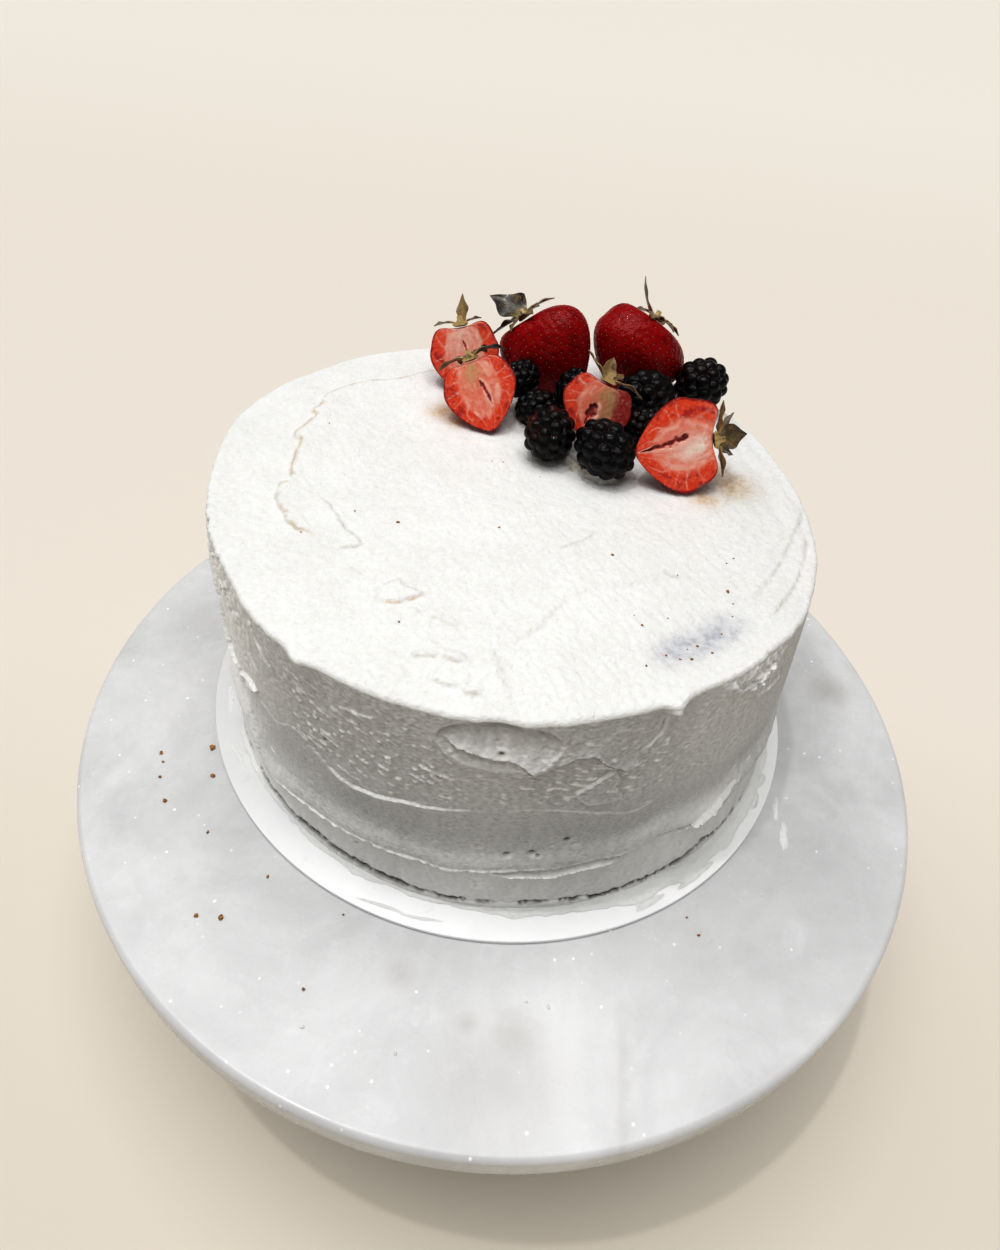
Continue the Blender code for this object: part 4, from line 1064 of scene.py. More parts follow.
def top_marks(x, y):
    """The marks of the top in mm, at places in mm from the plate's middle."""
    place = flat_places(x, y)
    up = np.zeros(x.shape)
    wobble = 0.5 * noise(place, 2.6, 41)
    for path, rise, tail, side in TOP_CREASES:
        up += step_mark(x + wobble, y + wobble, path, 1.6 * rise, tail, side)
    crest, along = reach_of(x + wobble, y, TOP_CREST, 20.0)
    up += 0.5 * np.where(crest > 0, bump(crest, 1.6), bump(crest, 6.0)) * ends_faded(along, 0.15)
    for outline, rise, edge in TOP_FLAKES:
        within = inside_reach(x + 0.5 * wobble, y, outline)
        up += rise * ramp(within, 0.0, edge)
    dent, along = reach_of(x, y, DENT_LINE, 20.0)
    up -= 0.5 * bump(dent, 5.5) * ends_faded(along, 0.2)
    for at_x, at_y, wide, tall in TOP_ROUGH:
        rough = bump(x - at_x, wide) * bump(y - at_y, tall)
        up += rough * (0.45 * noise(place * (1, 1.8, 1), 3.4, 42) + 0.3 * noise(place, 1.6, 43))
    off_x, off_y = x - CAKE_TOP_CENTRE[0] / MM, y - CAKE_TOP_CENTRE[1] / MM
    from_middle = np.hypot(off_x, off_y)
    around = np.degrees(np.arctan2(off_y, off_x))
    right = bump(turn_between(around, 10), 38) * ramp(from_middle, 74, 88)
    up += 0.25 * right * np.sin(from_middle / 1.15 + 2.2 * noise(place, 14.0, 44))
    slant = flat_places(x * 0.8 + y * 0.6, (y * 0.8 - x * 0.6) * 0.5)
    up += 0.17 * noise(slant, 1.5, 45) + 0.08 * noise(place, 1.1, 46)
    up += 0.30 * noise(place, 30.0, 47) + 0.16 * noise(place, 7.0, 48)
    return up


def top_shade(x, y):
    """How much grey painted shade lies at the foot of each mark of the top, from 0 to 1, with a faint grain.
    """
    place = flat_places(x, y)
    wobble = 0.5 * noise(place, 2.6, 41)
    shade = np.zeros(x.shape)
    for path, rise, _, side in TOP_CREASES:
        signed, along = reach_of(x + wobble, y + wobble, path, 5.0)
        line = bump(signed * side + 0.4, 0.55) * (0.35 + 0.6 * rise) * ends_faded(along, 0.1)
        shade = np.maximum(shade, line * ramp(noise(place, 3.0, 62), -0.7, 0.2))
    crest, along = reach_of(x + wobble, y, TOP_CREST, 5.0)
    shade = np.maximum(shade, 0.08 * bump(crest - 1.0, 1.2) * ends_faded(along, 0.1))
    for outline, _, _ in TOP_FLAKES:
        shade = np.maximum(shade, 0.25 * bump(inside_reach(x + 0.5 * wobble, y, outline) + 0.2, 0.5))
    grain = noise(place * (1.0, 1.4, 1.0), 1.3, 63) + noise(place, 0.8, 64)
    return np.clip(shade + 0.07 * grain, -0.1, 1.0)


def top_height(x, y):
    """Height of the icing's top over the cake's bottom, at places in metres."""
    level = CAKE_HEIGHT + top_marks(x / MM, y / MM) * MM
    for pat_x, pat_y, rise, width in TOP_PATS:
        off = np.hypot(x - CAKE_TOP_CENTRE[0] - pat_x, y - CAKE_TOP_CENTRE[1] - pat_y)
        level = level + rise * bump(off, width)
    return level


def icing_columns():
    """Angles round the cake in degrees, closer together at the front."""
    front = np.linspace(-175.0, -5.0, FRONT_COLUMNS, endpoint=False)
    back = np.linspace(-5.0, 185.0, BACK_COLUMNS, endpoint=False)
    return np.concatenate([front, back])


def icing_rows():
    """Heights of the side's rows, closer together where it has marks."""
    rows = []
    for low, high, step in SIDE_SPANS:
        count = round((high - low) / step)
        rows += list(np.linspace(low, high, count, endpoint=False))
    return np.array(rows + [SIDE_SPANS[-1][1]])


def side_points(angle, height, radius):
    """Points of the side, above the board."""
    x, y = cake_axis(height)
    turn = np.radians(angle)
    return np.stack([x + radius * np.cos(turn), y + radius * np.sin(turn), height], axis=-1)


def sunk_ring(ring, drop):
    """A copy of a ring, a little nearer to the middle and lower."""
    inner = np.array([*CAKE_TOP_CENTRE, 0.0])
    return inner + (ring - inner) * (1 - SUNK_SHARE, 1 - SUNK_SHARE, 1.0) - (0.0, 0.0, drop)


def side_shade_tone(angle, level):
    """How pale the side's icing is, as painted shade: greyer than the top's, paler at the left and in its
    lowest band, darker near 40 mm up.
    """
    low = line_height(angle, LOWER_LINE, LOWER_LEDGE) / MM + CAKE_OVER_PLATE / MM
    tone = spline(angle, SIDE_SHADE_TONES)
    return tone * (1 + 0.30 * (1 - ramp(level, low - 0.4, low + 0.4)) - 0.04 * bump(level - 40, 8))


def side_tints(angle, height, radius):
    """Tints of the side, mostly painted light and shade: near-black in the open seam and deep pits, pale on
    what faces up, grey under what stands out, with dark crumbs at the seam.
    """
    seam, wide = seam_line(angle)
    ragged = side_noise(angle, height, 640, 0.0009, 51)
    # near-black painted shade where the seam under the icing opens
    dark = bump(height - seam, 0.00070 + 0.00080 * wide) * ramp(wide, 0.12, 0.40) * ramp(ragged, -0.9, 0.0)
    crumbs = ramp(side_noise(angle, height, 512, 0.0007, 52), 0.10, 0.40)
    crumbs = bump(height - seam - 0.0004, 0.0019) * crumbs
    dark = np.maximum(dark, crumbs * ramp(wide, 0.55, 0.9))
    level = mm_over_plate(height)
    # near-black painted shade in the dips of the second rough patch
    at, high, wide_at, tall = ROUGH_SIDES[1]
    rough = bump(turn_between(angle, at), wide_at) * bump(level - high, tall)
    dark = np.maximum(dark, rough * ramp(side_noise(angle, height, 384, 0.0020, 27), 0.30, 0.55))
    # near-black painted shade inside the deep pits
    for at, high, depth, width in SIDE_PITS:
        if depth > SHADED_PIT_DEPTH:
            dark = np.maximum(dark, 0.9 * bump(pit_distance(angle, level, at, high), 0.75 * width))
    outwards = radius / MM
    overhang = np.gradient(outwards, level[:, 0], axis=0)
    to_left = (np.roll(outwards, -1, axis=1) - np.roll(outwards, 1, axis=1)) / (2 * FRONT_COLUMN_MM)
    # painted light and shade by slope: paler where the side faces up or to the left, greyer where it faces
    # down
    painted_light = np.clip(0.32 * to_left - 0.50 * overhang, -0.13, 0.60)
    # painted highlights along ridges, strips and strokes
    for path, paler, width in PAINTED_HIGHLIGHT_LINES:
        near, along = reach_of(mm_from(angle, -90), level, on_side(path), 5.0)
        fade = ends_faded(along, 0.35)
        painted_light = np.maximum(painted_light, paler * fade * bump(near, width * (0.4 + 0.6 * fade)))
    # painted highlights on the raised dashes
    painted_light = painted_light + 0.45 * np.minimum(1.7 * dashes(angle, height), 1.0) * (0.3 + 0.7 * ramp(angle, -100, -90))
    # painted shade under what stands out
    under = 0.60 * ramp(overhang, 0.45, 1.6)
    # painted shade in small hollows and painted light on small bumps
    around = (np.roll(outwards, 2, axis=1) + np.roll(outwards, -2, axis=1)) / 2
    hollow = np.clip(around - outwards, -0.12, 0.12)
    shade = np.minimum(side_shade_tone(angle, level) * (1 + painted_light) * (1 - under) * (1 - 0.6 * hollow), 1.08)
    dark = dark[..., None]
    return shade[..., None] * (1 - dark * (1 - np.array([0.035, 0.025, 0.018])))


def make_icing_side(material, columns):
    """The side, as a lower and an upper ring that meet, each closed inside the cake."""
    rows = icing_rows()
    height, angle = np.meshgrid(rows, columns, indexing="ij")
    radius = cake_radius(angle, height)
    grid = side_points(angle, height, radius)
    tints = side_tints(angle, height, radius)
    split = len(rows) // 2
    last = len(rows) - 1
    for name, first, end in (("icing_side_low", 0, split), ("icing_side_high", split, last)):
        rings = [grid[first:end + 1]]
        looks = [tints[first:end + 1]]
        if first:
            rings.insert(0, sunk_ring(grid[first], -0.001)[None])
            looks.insert(0, tints[first:first + 1])
        rings.append(sunk_ring(grid[end], 0.005)[None])
        looks.append(tints[end:end + 1])
        rings = np.concatenate(rings)
        poles = [(*CAKE_BOTTOM_CENTRE, rings[0, 0, 2]), (*CAKE_TOP_CENTRE, rings[-1, 0, 2])]
        points, quads, triangles = closed_rings(rings, *poles)
        colours = np.concatenate([np.concatenate(looks).reshape(-1, 3), np.ones((2, 3))])
        shape = (points + (0.0, 0.0, CAKE_BOTTOM), quads, triangles)
        add_piece(name, shape, material, "buttercream", "cake", colours=colours)
    return grid[-1]


def top_rings():
    """How far in from the edge each ring of the top is, and how far below the top it starts."""
    around = np.radians(np.linspace(0, 90, 7))
    rings = [(RIM_ROUNDING * (1 - math.cos(a)), RIM_ROUNDING * (1 - math.sin(a))) for a in around]
    inset = rings[-1][0]
    while inset < CAKE_TOP_RADIUS - TOP_FINE_UNTIL:
        inset += TOP_RING_STEP
        rings.append((inset, 0.0))
    return rings


def ring_of_top(edge, inset, drop):
    """A ring of the top's points, so far in from its edge."""
    middle = np.array(CAKE_TOP_CENTRE)
    flat = edge[:, :2] - middle
    flat = flat * (1 - inset / CAKE_TOP_RADIUS) + middle
    level = top_height(flat[:, 0], flat[:, 1])
    settled = ramp(inset, 0.0, RIM_ROUNDING * 2)
    level = CAKE_HEIGHT + (level - CAKE_HEIGHT) * settled - drop
    return np.concatenate([flat, level[:, None]], axis=1)


def halved(first, count):
    """Triangles from a ring of count points, starting at first, to the ring of half as many after it."""
    outer = first + np.arange(count)
    inner = first + count + np.arange(count // 2)
    a, b, c = outer[0::2], outer[1::2], np.roll(outer[0::2], -1)
    here, after = inner, np.roll(inner, -1)
    threes = ((a, b, here), (b, after, here), (b, c, after))
    return np.concatenate([np.stack(three, axis=-1) for three in threes])


def top_tints(x, y):
    """Tints of the top: warm stains by the berries, warm painted shade along some marks, cool in the dent,
    grey painted shade at the marks' feet and towards the right.
    """
    warm = np.zeros(len(x))
    spread = 0.5 + 0.5 * noise(flat_places(x, y), 2.0, 61)
    for at_x, at_y, wide in STAINS:
        warm = np.maximum(warm, bump(np.hypot(x - at_x, y - at_y), wide) * (0.55 + 0.45 * spread))
    # warm painted shade along these lines
    for path, strength, width, low, high in WARM_SHADE_LINES:
        near, along = reach_of(x, y, path, 4.0)
        line = strength * bump(near, width) * ends_faded(along, 0.1) * ramp(spread, low, high)
        warm = np.maximum(warm, line)
    dent, along = reach_of(x, y, DENT_LINE, 20.0)
    cool = bump(dent, 5.0) * ends_faded(along, 0.3) * (0.45 + 0.45 * ramp(spread, 0.2, 0.8))
    tints = np.ones((len(x), 3))
    shade = top_shade(x, y)
    for part, colour in ((warm, (232, 206, 172)), (cool, (214, 215, 224)), (shade, (226, 222, 214))):
        tints = tints * (1 - part[:, None] * (1 - srgb(*colour)))
    # painted shade: the top a little darker towards its right and back
    return tints * (1 - 0.06 * ramp(x + 0.4 * y, 0, 90))[:, None]


def make_icing_top(material, edge):
    """The top, from the edge of the side inwards, with fewer points in a ring near the middle."""
    spaces = top_rings()
    rings = [ring_of_top(edge, inset, drop) for inset, drop in spaces]
    count = len(edge)
    quads = [ring_quads(len(rings), count)]
    points = list(np.concatenate(rings))
    triangles = []
    inset = spaces[-1][0]
    for step, reach in TOP_INNER_RINGS:
        edge = edge[::2]
        triangles.append(halved(len(points) - count, count))
        count = len(edge)
        rows = 0
        while inset + step < CAKE_TOP_RADIUS - reach - 0.0006:
            inset += step
            points += list(ring_of_top(edge, inset, 0.0))
            rows += 1
        quads.append(ring_quads(rows, count, len(points) - rows * count))
    middle = len(points)
    points.append((*CAKE_TOP_CENTRE, float(top_height(*[np.array([v]) for v in CAKE_TOP_CENTRE])[0])))
    triangles.append(fan(middle, middle - count + np.arange(count)))
    below = sunk_ring(rings[0], 0.004)
    start = len(points)
    points += list(below)
    quads.append(bridge(start, 0, len(below)))
    points.append((*CAKE_TOP_CENTRE, below[0, 2]))
    triangles.append(fan(len(points) - 1, start + np.arange(len(below)), upwards=False))
    points = np.array(points)
    tints = top_tints(points[:, 0] / MM, points[:, 1] / MM)
    shape = (points + (0.0, 0.0, CAKE_BOTTOM), np.concatenate(quads), np.concatenate(triangles))
    add_piece("icing_top", shape, material, "buttercream", "cake", colours=tints)


def board_reach(angle):
    """How far the board's edge is from the cake's bottom centre, at an angle in degrees."""
    turn = np.radians(angle)
    off = np.array(BOARD_CENTRE) - np.array(CAKE_BOTTOM_CENTRE)
    along = off[0] * np.cos(turn) + off[1] * np.sin(turn)
    aside = off[0] * np.sin(turn) - off[1] * np.cos(turn)
    return along + np.sqrt(BOARD_RADIUS**2 - aside**2)


def make_skirt(material):
    """The ragged band of icing that the knife left on the board round the cake."""
    angle = np.linspace(-180, 180, SKIRT_COLUMNS, endpoint=False)
    level = np.zeros_like(angle)
    wide = spline(angle, SKIRT_WIDTHS)
    for strength, around, seed in ((0.9, 64, 71), (0.45, 224, 72), (0.2, 704, 73)):
        wide = wide + strength * side_noise(angle, level, around, 1.0, seed)
    hidden, gap = 0.0022, 0.0008
    inner = cake_radius(angle, level + 0.0002) - hidden
    outer = np.minimum(inner + hidden + wide * MM, board_reach(angle) - gap)
    rise = 0.0010 + 0.0003 * side_noise(angle, level, 96, 1.0, 74)
    turn = np.radians(angle)
    floor = BOARD_HIGH.z + 0.00002
    rings = []
    for part in (*np.linspace(0, 0.86, 13), 0.92, 0.96, 0.985, 1.0):
        lumps = 0.00022 * side_noise(angle, level + part, 288, 0.10, 75)
        crease = 0.00035 * bump(part - 0.55 - 0.1 * side_noise(angle, level, 96, 1.0, 76), 0.05)
        height = rise * (1 - 0.55 * part) + lumps - crease
        rings.append((part, height * np.sqrt(np.maximum(1 - part**5, 0.0)) + 0.00005))
    rings += [(part, level) for part in (1.0, 0.5, 0.0)]
    points = []
    for part, height in rings:
        radius = inner + (outer - inner) * part
        points.append(np.stack([radius * np.cos(turn), radius * np.sin(turn), floor + height], axis=-1))
    points = np.array(points) + (*CAKE_BOTTOM_CENTRE, 0.0)
    rows, count = points.shape[:2]
    quads = np.concatenate([ring_quads(rows, count), bridge((rows - 1) * count, 0, count)])
    add_piece("icing_skirt", (points.reshape(-1, 3), quads[:, ::-1], ()), material, "buttercream")


def blob(x, y, half_length, half_width, turn, height, floor, seed):
    """A low ragged dome of icing on a flat place."""
    columns = 56
    around = np.linspace(0, 2 * np.pi, columns, endpoint=False)
    draw = np.random.default_rng(seed)
    edge = np.ones_like(around)
    for waves in (2, 3, 5, 8, 13):
        edge += 0.34 / waves * draw.uniform(0.3, 1) * np.sin(waves * around + draw.uniform(0, 6.3))
    flat = np.stack([edge * np.cos(around), edge * np.sin(around), 0 * around], axis=-1)
    rings = [flat]
    for part in (0.99, 0.95, 0.86, 0.72, 0.55, 0.36, 0.16):
        lumps = 1 + 0.3 * noise(flat * part + (0, 0, seed), 0.35, 81)
        level = (1 - part**2) ** 1.2 * lumps
        rings.append(flat * part + level[:, None] * (0, 0, 1))
    points, quads, triangles = closed_rings(rings, (0, 0, 0), (0, 0, 1.0))
    points = points * (half_length * MM, half_width * MM, height * MM)
    matrix = Matrix.Translation((x * MM, y * MM, floor)) @ Matrix.Rotation(math.radians(turn), 4, "Z")
    return placed(points, matrix), quads, triangles


def make_smears(material):
    """Smears and drops of icing on the board and the marble."""
    parts = [blob(*smear, BOARD_HIGH.z, seed) for seed, smear in enumerate(SMEARS, 1)]
    parts += [blob(*smear, PLATE_TOP, seed) for seed, smear in enumerate(MARBLE_SMEARS, 31)]
    for k, (x, y, size) in enumerate(ICING_DROPS):
        parts.append(blob(x, y, size, 0.8 * size, 40 * k, 0.7 * size, PLATE_TOP, k + 51))
    add_piece("icing_smears", joined(parts), material, "buttercream")


# --- Crumbs ---


def ball(subdivisions):
    """Points and triangles of a ball of radius 1."""
    shape = bmesh.new()
    bmesh.ops.create_icosphere(shape, subdivisions=subdivisions, radius=1.0)
    points = np.array([tuple(v.co) for v in shape.verts])
    triangles = np.array([[v.index for v in face.verts] for face in shape.faces])
    shape.free()
    return points, triangles


def make_crumbs(material):
    """Brown sponge crumbs on the marble and the board, and finer ones in the icing's top."""
    round_points, triangles = ball(2)
    draw = np.random.default_rng(5)
    parts = []
    places = []
    for x, y, size in LOW_CRUMBS:
        on_board = math.hypot(x * MM - BOARD_CENTRE[0], y * MM - BOARD_CENTRE[1]) < BOARD_RADIUS
        places.append((x * MM, y * MM, (BOARD_HIGH.z if on_board else PLATE_TOP) + 0.5 * size * MM, size))
    for x, y, size in TOP_SPECKS:
        level = CAKE_BOTTOM + float(top_height(np.array([x * MM]), np.array([y * MM]))[0])
        places.append((x * MM, y * MM, level + 0.1 * size * MM, size))
    for x, y, z, size in places:
        lumpy = round_points * draw.uniform(0.50, 1.10, (len(round_points), 1))
        lumpy = lumpy * draw.uniform(0.7, 1.3, 3) * (1, 1, 0.75) * size * MM
        parts.append((lumpy + (x, y, z), (), triangles))
    add_piece("crumbs", joined(parts), material, sharp_degrees=STONE_SHARP)


# --- Strawberries ---


def facing(calyx, tip, outwards):
    """A berry's frame: its origin at the calyx, +Z away from the tip and -Y the side that faces out."""
    up = (Vector(calyx) - Vector(tip)).normalized()
    back = -(Vector(outwards) - up * up.dot(Vector(outwards))).normalized()
    turn = Matrix((back.cross(up), back, up)).transposed()
    return TOPPINGS @ Matrix.Translation(Vector(calyx)) @ turn.to_4x4()


SKIN_RED = srgb(154, 2, 5)
SKIN_PALE = srgb(214, 96, 62)
SEED_ROWS = 13
SEED_SPACING = 0.0036
SEED_SIZE = (0.00056, 0.00034, 0.00026)  # half its length, width and thickness
CUT_MARGIN = 0.12  # how far in radians the seeds keep from a cut
DIMPLE_DEPTH = 0.00034
DIMPLE_RADIUS = 0.00085
SKIN_SWELL = 0.00005  # how full the skin is between its seeds


def strawberry_outline(part, length, radius):
    """A strawberry's radius, height and share of its shoulders, from the calyx at part 0 to the tip."""
    across = radius * np.sin(np.pi * part**0.84) ** 0.70
    return across, -length * part**1.25, np.sin(np.pi * np.minimum(part / 0.3, 1.0))


class Strawberry:
    """A strawberry's form in its own frame."""

    def __init__(self, name):
        """A berry by its name in STRAWBERRIES."""
        calyx, tip, self.width, self.thickness, outwards, self.rise, self.leftwards = STRAWBERRIES[name]
        self.name = name
        self.cut = "half" in name
        self.length = (Vector(calyx) - Vector(tip)).length
        self.lobes = len(name) + self.width * 1000
        self.matrix = facing(calyx, tip, outwards)
        self.seeds = self.seed_places()

    def reach(self, part, turn):
        """How far the skin is from the berry's axis."""
        across, _, _ = strawberry_outline(part, self.length, self.width / 2)
        twisted = 3 * turn + 2 * self.lobes + 4 * part
        return across * (1 + 0.03 * np.sin(2 * turn + self.lobes) + 0.02 * np.sin(twisted))

    def skin(self, part, turn):
        """A point of the skin without its dimples."""
        _, height, shoulder = strawberry_outline(part, self.length, self.width / 2)
        lift = self.rise * shoulder * (1 - self.leftwards * np.cos(turn))
        reach = self.reach(part, turn)
        flattened = reach * self.thickness
        return np.stack([reach * np.cos(turn), flattened * np.sin(turn), height + lift], axis=-1)

    def seed_places(self):
        """Seeds in rows round the berry, staggered from row to row."""
        draw = np.random.default_rng(int(self.lobes))
        found = []
        for row in range(SEED_ROWS):
            part = 0.10 + 0.86 * (row + 0.5) / SEED_ROWS
            count = max(4, round(math.tau * float(self.reach(part, 0.0)) / SEED_SPACING))
            for k in range(count):
                turn = math.tau * (k + 0.5 * (row % 2) + draw.uniform(-0.15, 0.15)) / count % math.tau
                if self.cut and not CUT_MARGIN < turn < math.pi - CUT_MARGIN:
                    continue
                found.append((min(part + draw.uniform(-0.012, 0.012), 0.97), turn))
        return np.array(found).T

    def dimpled(self, part, turn):
        """A point of the skin, sunk round each seed and full between them."""
        base = self.skin(part, turn)
        seeds = self.skin(*self.seeds)
        nearest = np.full(part.shape, 1.0)
        for seed in seeds:
            nearest = np.minimum(nearest, np.linalg.norm(base - seed, axis=-1))
        middle = np.stack([part * 0, part * 0, base[..., 2] * 0.6 - 0.2 * self.length], axis=-1)
        outwards = base - middle
        outwards /= np.maximum(np.linalg.norm(outwards, axis=-1, keepdims=True), 1e-9)
        sink = DIMPLE_DEPTH * bump(nearest, DIMPLE_RADIUS) - SKIN_SWELL
        return base - outwards * sink[..., None]

    def seed_shapes(self):
        """Each seed as a small drop lying in its dimple, pointing to the tip."""
        ball_points, triangles = ball(1)
        part, turn = self.seeds
        here = self.dimpled(part, turn)
        below = self.dimpled(np.minimum(part + 0.02, 0.99), turn)
        beside = self.dimpled(part, turn + 0.05)
        parts = []
        for at, down, aside in zip(here, below, beside):
            long = down - at
            long /= np.linalg.norm(long)
            normal = np.cross(long, aside - at)
            normal /= np.linalg.norm(normal)
            if normal @ (at - (0, 0, -self.length / 2)) < 0:
                normal = -normal
            wide = np.cross(normal, long)
            shape = ball_points * SEED_SIZE @ np.array([long, wide, normal])
            parts.append((placed(shape + at + normal * 0.00008, self.matrix), (), triangles))
        return parts


def skin_tints(part):
    """The skin's red, paler close to the calyx."""
    pale = ramp(0.07 - part, 0.0, 0.07)[..., None] * 0.6
    return SKIN_RED * (1 - pale) + SKIN_PALE * pale


def berry_rows(first, count):
    """Parts of a berry's length, closer together at both ends."""
    return 0.5 - 0.5 * np.cos(np.pi * np.linspace(first, 0.985, count))


def add_berry(berry, rings, grid_tints, top, suffix, material, slot, **how):
    """A strawberry from rings in its own frame, which go the other way round, and a tint for each place."""
    points, quads, triangles = closed_rings(rings, (0, 0, top), (0, 0, -berry.length))
    tints = np.tile(SKIN_RED, (len(points), 1))
    tints[:-2] = grid_tints.reshape(-1, 3)
    shape = (placed(points, berry.matrix), quads[:, ::-1], triangles[:, ::-1])
    add_piece(berry.name + suffix, shape, material, slot, berry.name, colours=tints, **how)


def make_whole_strawberry(name, skin_look):
    """A whole strawberry."""
    berry = Strawberry(name)
    columns = 150
    turns = np.linspace(0, 2 * np.pi, columns, endpoint=False)
    part, turn = np.meshgrid(berry_rows(0.06, 92), turns, indexing="ij")
    add_berry(berry, berry.dimpled(part, turn), skin_tints(part), 0.0002, "_skin", skin_look,
              "strawberry_skin")
    return berry


# Cut faces: slit's start and end as (across, part), its half width in mm, the core's place, reach,
# strength and colour, and how dark the flesh is to the right
CUT_FACES = {
    "strawberry_half_left": ((0.03, 0.26), (0.12, 0.50), 0.55,
                             (-0.05, 0.20), 0.44, 0.95, (240, 196, 180), 0.0),
    "strawberry_half_front_left": ((0.08, 0.36), (0.25, 0.70), 0.75,
                                   (-0.06, 0.12), 0.24, 1.2, (196, 168, 116), 0.0),
    "strawberry_half_middle": ((-0.02, 0.50), (-0.18, 0.78), 1.9,
                               (0.27, 0.40), 0.36, 2.2, (180, 144, 100), 0.9),
    "strawberry_half_right": ((-0.17, 0.40), (-0.02, 0.94), 1.5,
                              (0.02, 0.34), 0.26, 1.5, (250, 230, 214), 0.0),
}


def face_look(berry, across, part):
    """Tint and hollow of the cut face, across from -1 to 1 and part from the calyx to the tip."""
    start, end, slit_width, core, core_reach, pale, core_colour, dark_right = CUT_FACES[berry.name]
    seed = int(berry.lobes)
    place = np.stack([across * berry.width / 2, part * berry.length, 0 * part], axis=-1)
    ragged = noise(place, 0.0016, seed) + 0.5 * noise(place, 0.0007, seed + 1)
    tip = np.maximum((part - 0.42) / 0.58, 0.0) ** 1.7
    edge = np.minimum(1 - np.hypot(across, tip), 1 - np.abs(across))
    turn = np.arctan2(across * berry.width / 2, (part - 0.40) * berry.length)
    comb = np.abs(np.sin(8.5 * turn + 1.3 * noise(place, 0.006, seed + 2)))
    lobes = 0.05 * (1 - comb) + 0.035 * ragged
    ring = (1 - ramp(edge + lobes, 0.37, 0.50)) * ramp(part + 0.05 * ragged, 0.02, 0.20)
    vein = bump(comb, 0.12) * ramp(edge, 0.02, 0.14) * (1 - ramp(edge, 0.36, 0.55))
    vein = vein * (0.75 + 0.45 * noise(place, 0.004, seed + 3))
    light = srgb(250, 192, 172)
    outer = toward(srgb(232, 74, 30), srgb(184, 34, 28),
                   ramp(ragged + 0.9 * noise(place, 0.005, seed + 4), 0.1, 1.0))
    streak = ramp(noise(place * (1, 0.22, 1), 0.0011, seed + 5), 0.1, 0.8)
    inner = toward(srgb(238, 132, 106), light, 0.65 * streak + 0.35 * ramp(ragged, 0.0, 1.0))
    inner = toward(inner, light, bump(edge - 0.54, 0.06) * (0.25 + 0.5 * ragged))
    core_near = bump(np.hypot((across - core[0]) * 0.9, part - core[1]), core_reach) * pale
    inner = toward(inner, srgb(*core_colour), core_near * (0.75 + 0.35 * ragged))
    tint = toward(inner, outer, ring)
    tint = toward(tint, light, 0.9 * np.clip(vein, 0, 1))
    tint = toward(tint, srgb(140, 18, 20), ramp(across + 0.08 * ragged, 0.35, 0.62) * dark_right)
    wide, long = berry.width / 2 / MM, berry.length / MM
    ends = [(at * wide, down * long) for at, down in (start, end)]
    slit, along = reach_of(across * wide, part * long, ends, 9.0, smooth=False)
    slit = np.abs(slit)
    opening = slit_width * (0.15 + 0.85 * np.sin(np.pi * np.clip(along, 0.03, 0.97) ** 0.6) ** 0.8)
    opened = 1 - ramp(slit + 0.55 * opening * ragged, opening * 0.6, opening)
    beside = bump(slit, 2.4 * slit_width) * (1 - opened)
    tint = toward(tint, srgb(226, 92, 70), beside * (0.45 + 0.3 * ragged))
    right = across * wide > ends[0][0]
    tint = toward(tint, light, bump(slit - 1.5 * opening, 0.7) * (1 - opened) * right * 0.95)
    cavity = srgb(150, 14, 20) * (0.75 + 0.5 * ramp(ragged, -0.3, 0.5))[..., None]
    tint = toward(tint, cavity, opened)
    rind = 1 - ramp(1 - np.abs(across) + 0.004 * ragged, 0.025, 0.065)
    tint = toward(tint, SKIN_RED, np.maximum(rind, 1 - ramp(1 - part, 0.012, 0.035)))
    hollow = 0.0009 * opened * min(slit_width, 1.3) + 0.00012 * (1 - ring) - 0.00006 * ragged
    return tint, hollow


def make_half_strawberry(name, flesh_look, skin_look):
    """Half a strawberry: a shell of skin and a cut face between its two edges."""
    berry = Strawberry(name)
    shell_columns, face_columns = 48, 100
    rows = berry_rows(0.05, 100)
    part, turn = np.meshgrid(rows, np.linspace(0, np.pi, shell_columns), indexing="ij")
    shell = berry.dimpled(part, turn)
    face_part, across = np.meshgrid(rows, np.linspace(-1, 1, face_columns)[1:-1], indexing="ij")
    left = berry.skin(rows, np.full_like(rows, np.pi))
    right = berry.skin(rows, np.zeros_like(rows))
    shell[:, 0] = right
    shell[:, -1] = left
    side = np.where(across[..., None] < 0, left[:, None], right[:, None])
    off = np.abs(across)
    _, level, _ = strawberry_outline(face_part, berry.length, berry.width / 2)
    notch = (np.sqrt(off**2 + 0.0064) - 0.08) / 0.9232
    face = np.stack([off * side[..., 0], 0 * off, level + notch * (side[..., 2] - level)], axis=-1)
    tint, hollow = face_look(berry, across, face_part)
    face[..., 1] += hollow - 0.0004 * np.sin(np.pi * face_part) * (1 - across**2)
    rings = np.concatenate([shell, face], axis=1)
    tints = np.concatenate([skin_tints(part), tint], axis=1)
    count = rings.shape[1]
    column = np.tile(np.arange(count), len(rows) - 1)
    is_skin = np.where(column >= shell_columns - 1, 0, 1)
    kinds = np.concatenate([is_skin, np.ones(2 * count, int)])
    add_berry(berry, rings, tints, 0.0001, "_flesh", [flesh_look, skin_look], "strawberry_flesh",
              sharp_degrees=50, kinds=kinds)
    return berry


def make_seeds(berries, material):
    """The seeds of all strawberries, as one piece."""
    parts = [shape for berry in berries for shape in berry.seed_shapes()]
    add_piece("strawberry_seeds", joined(parts), material, "strawberry_skin")


# --- Calyxes ---


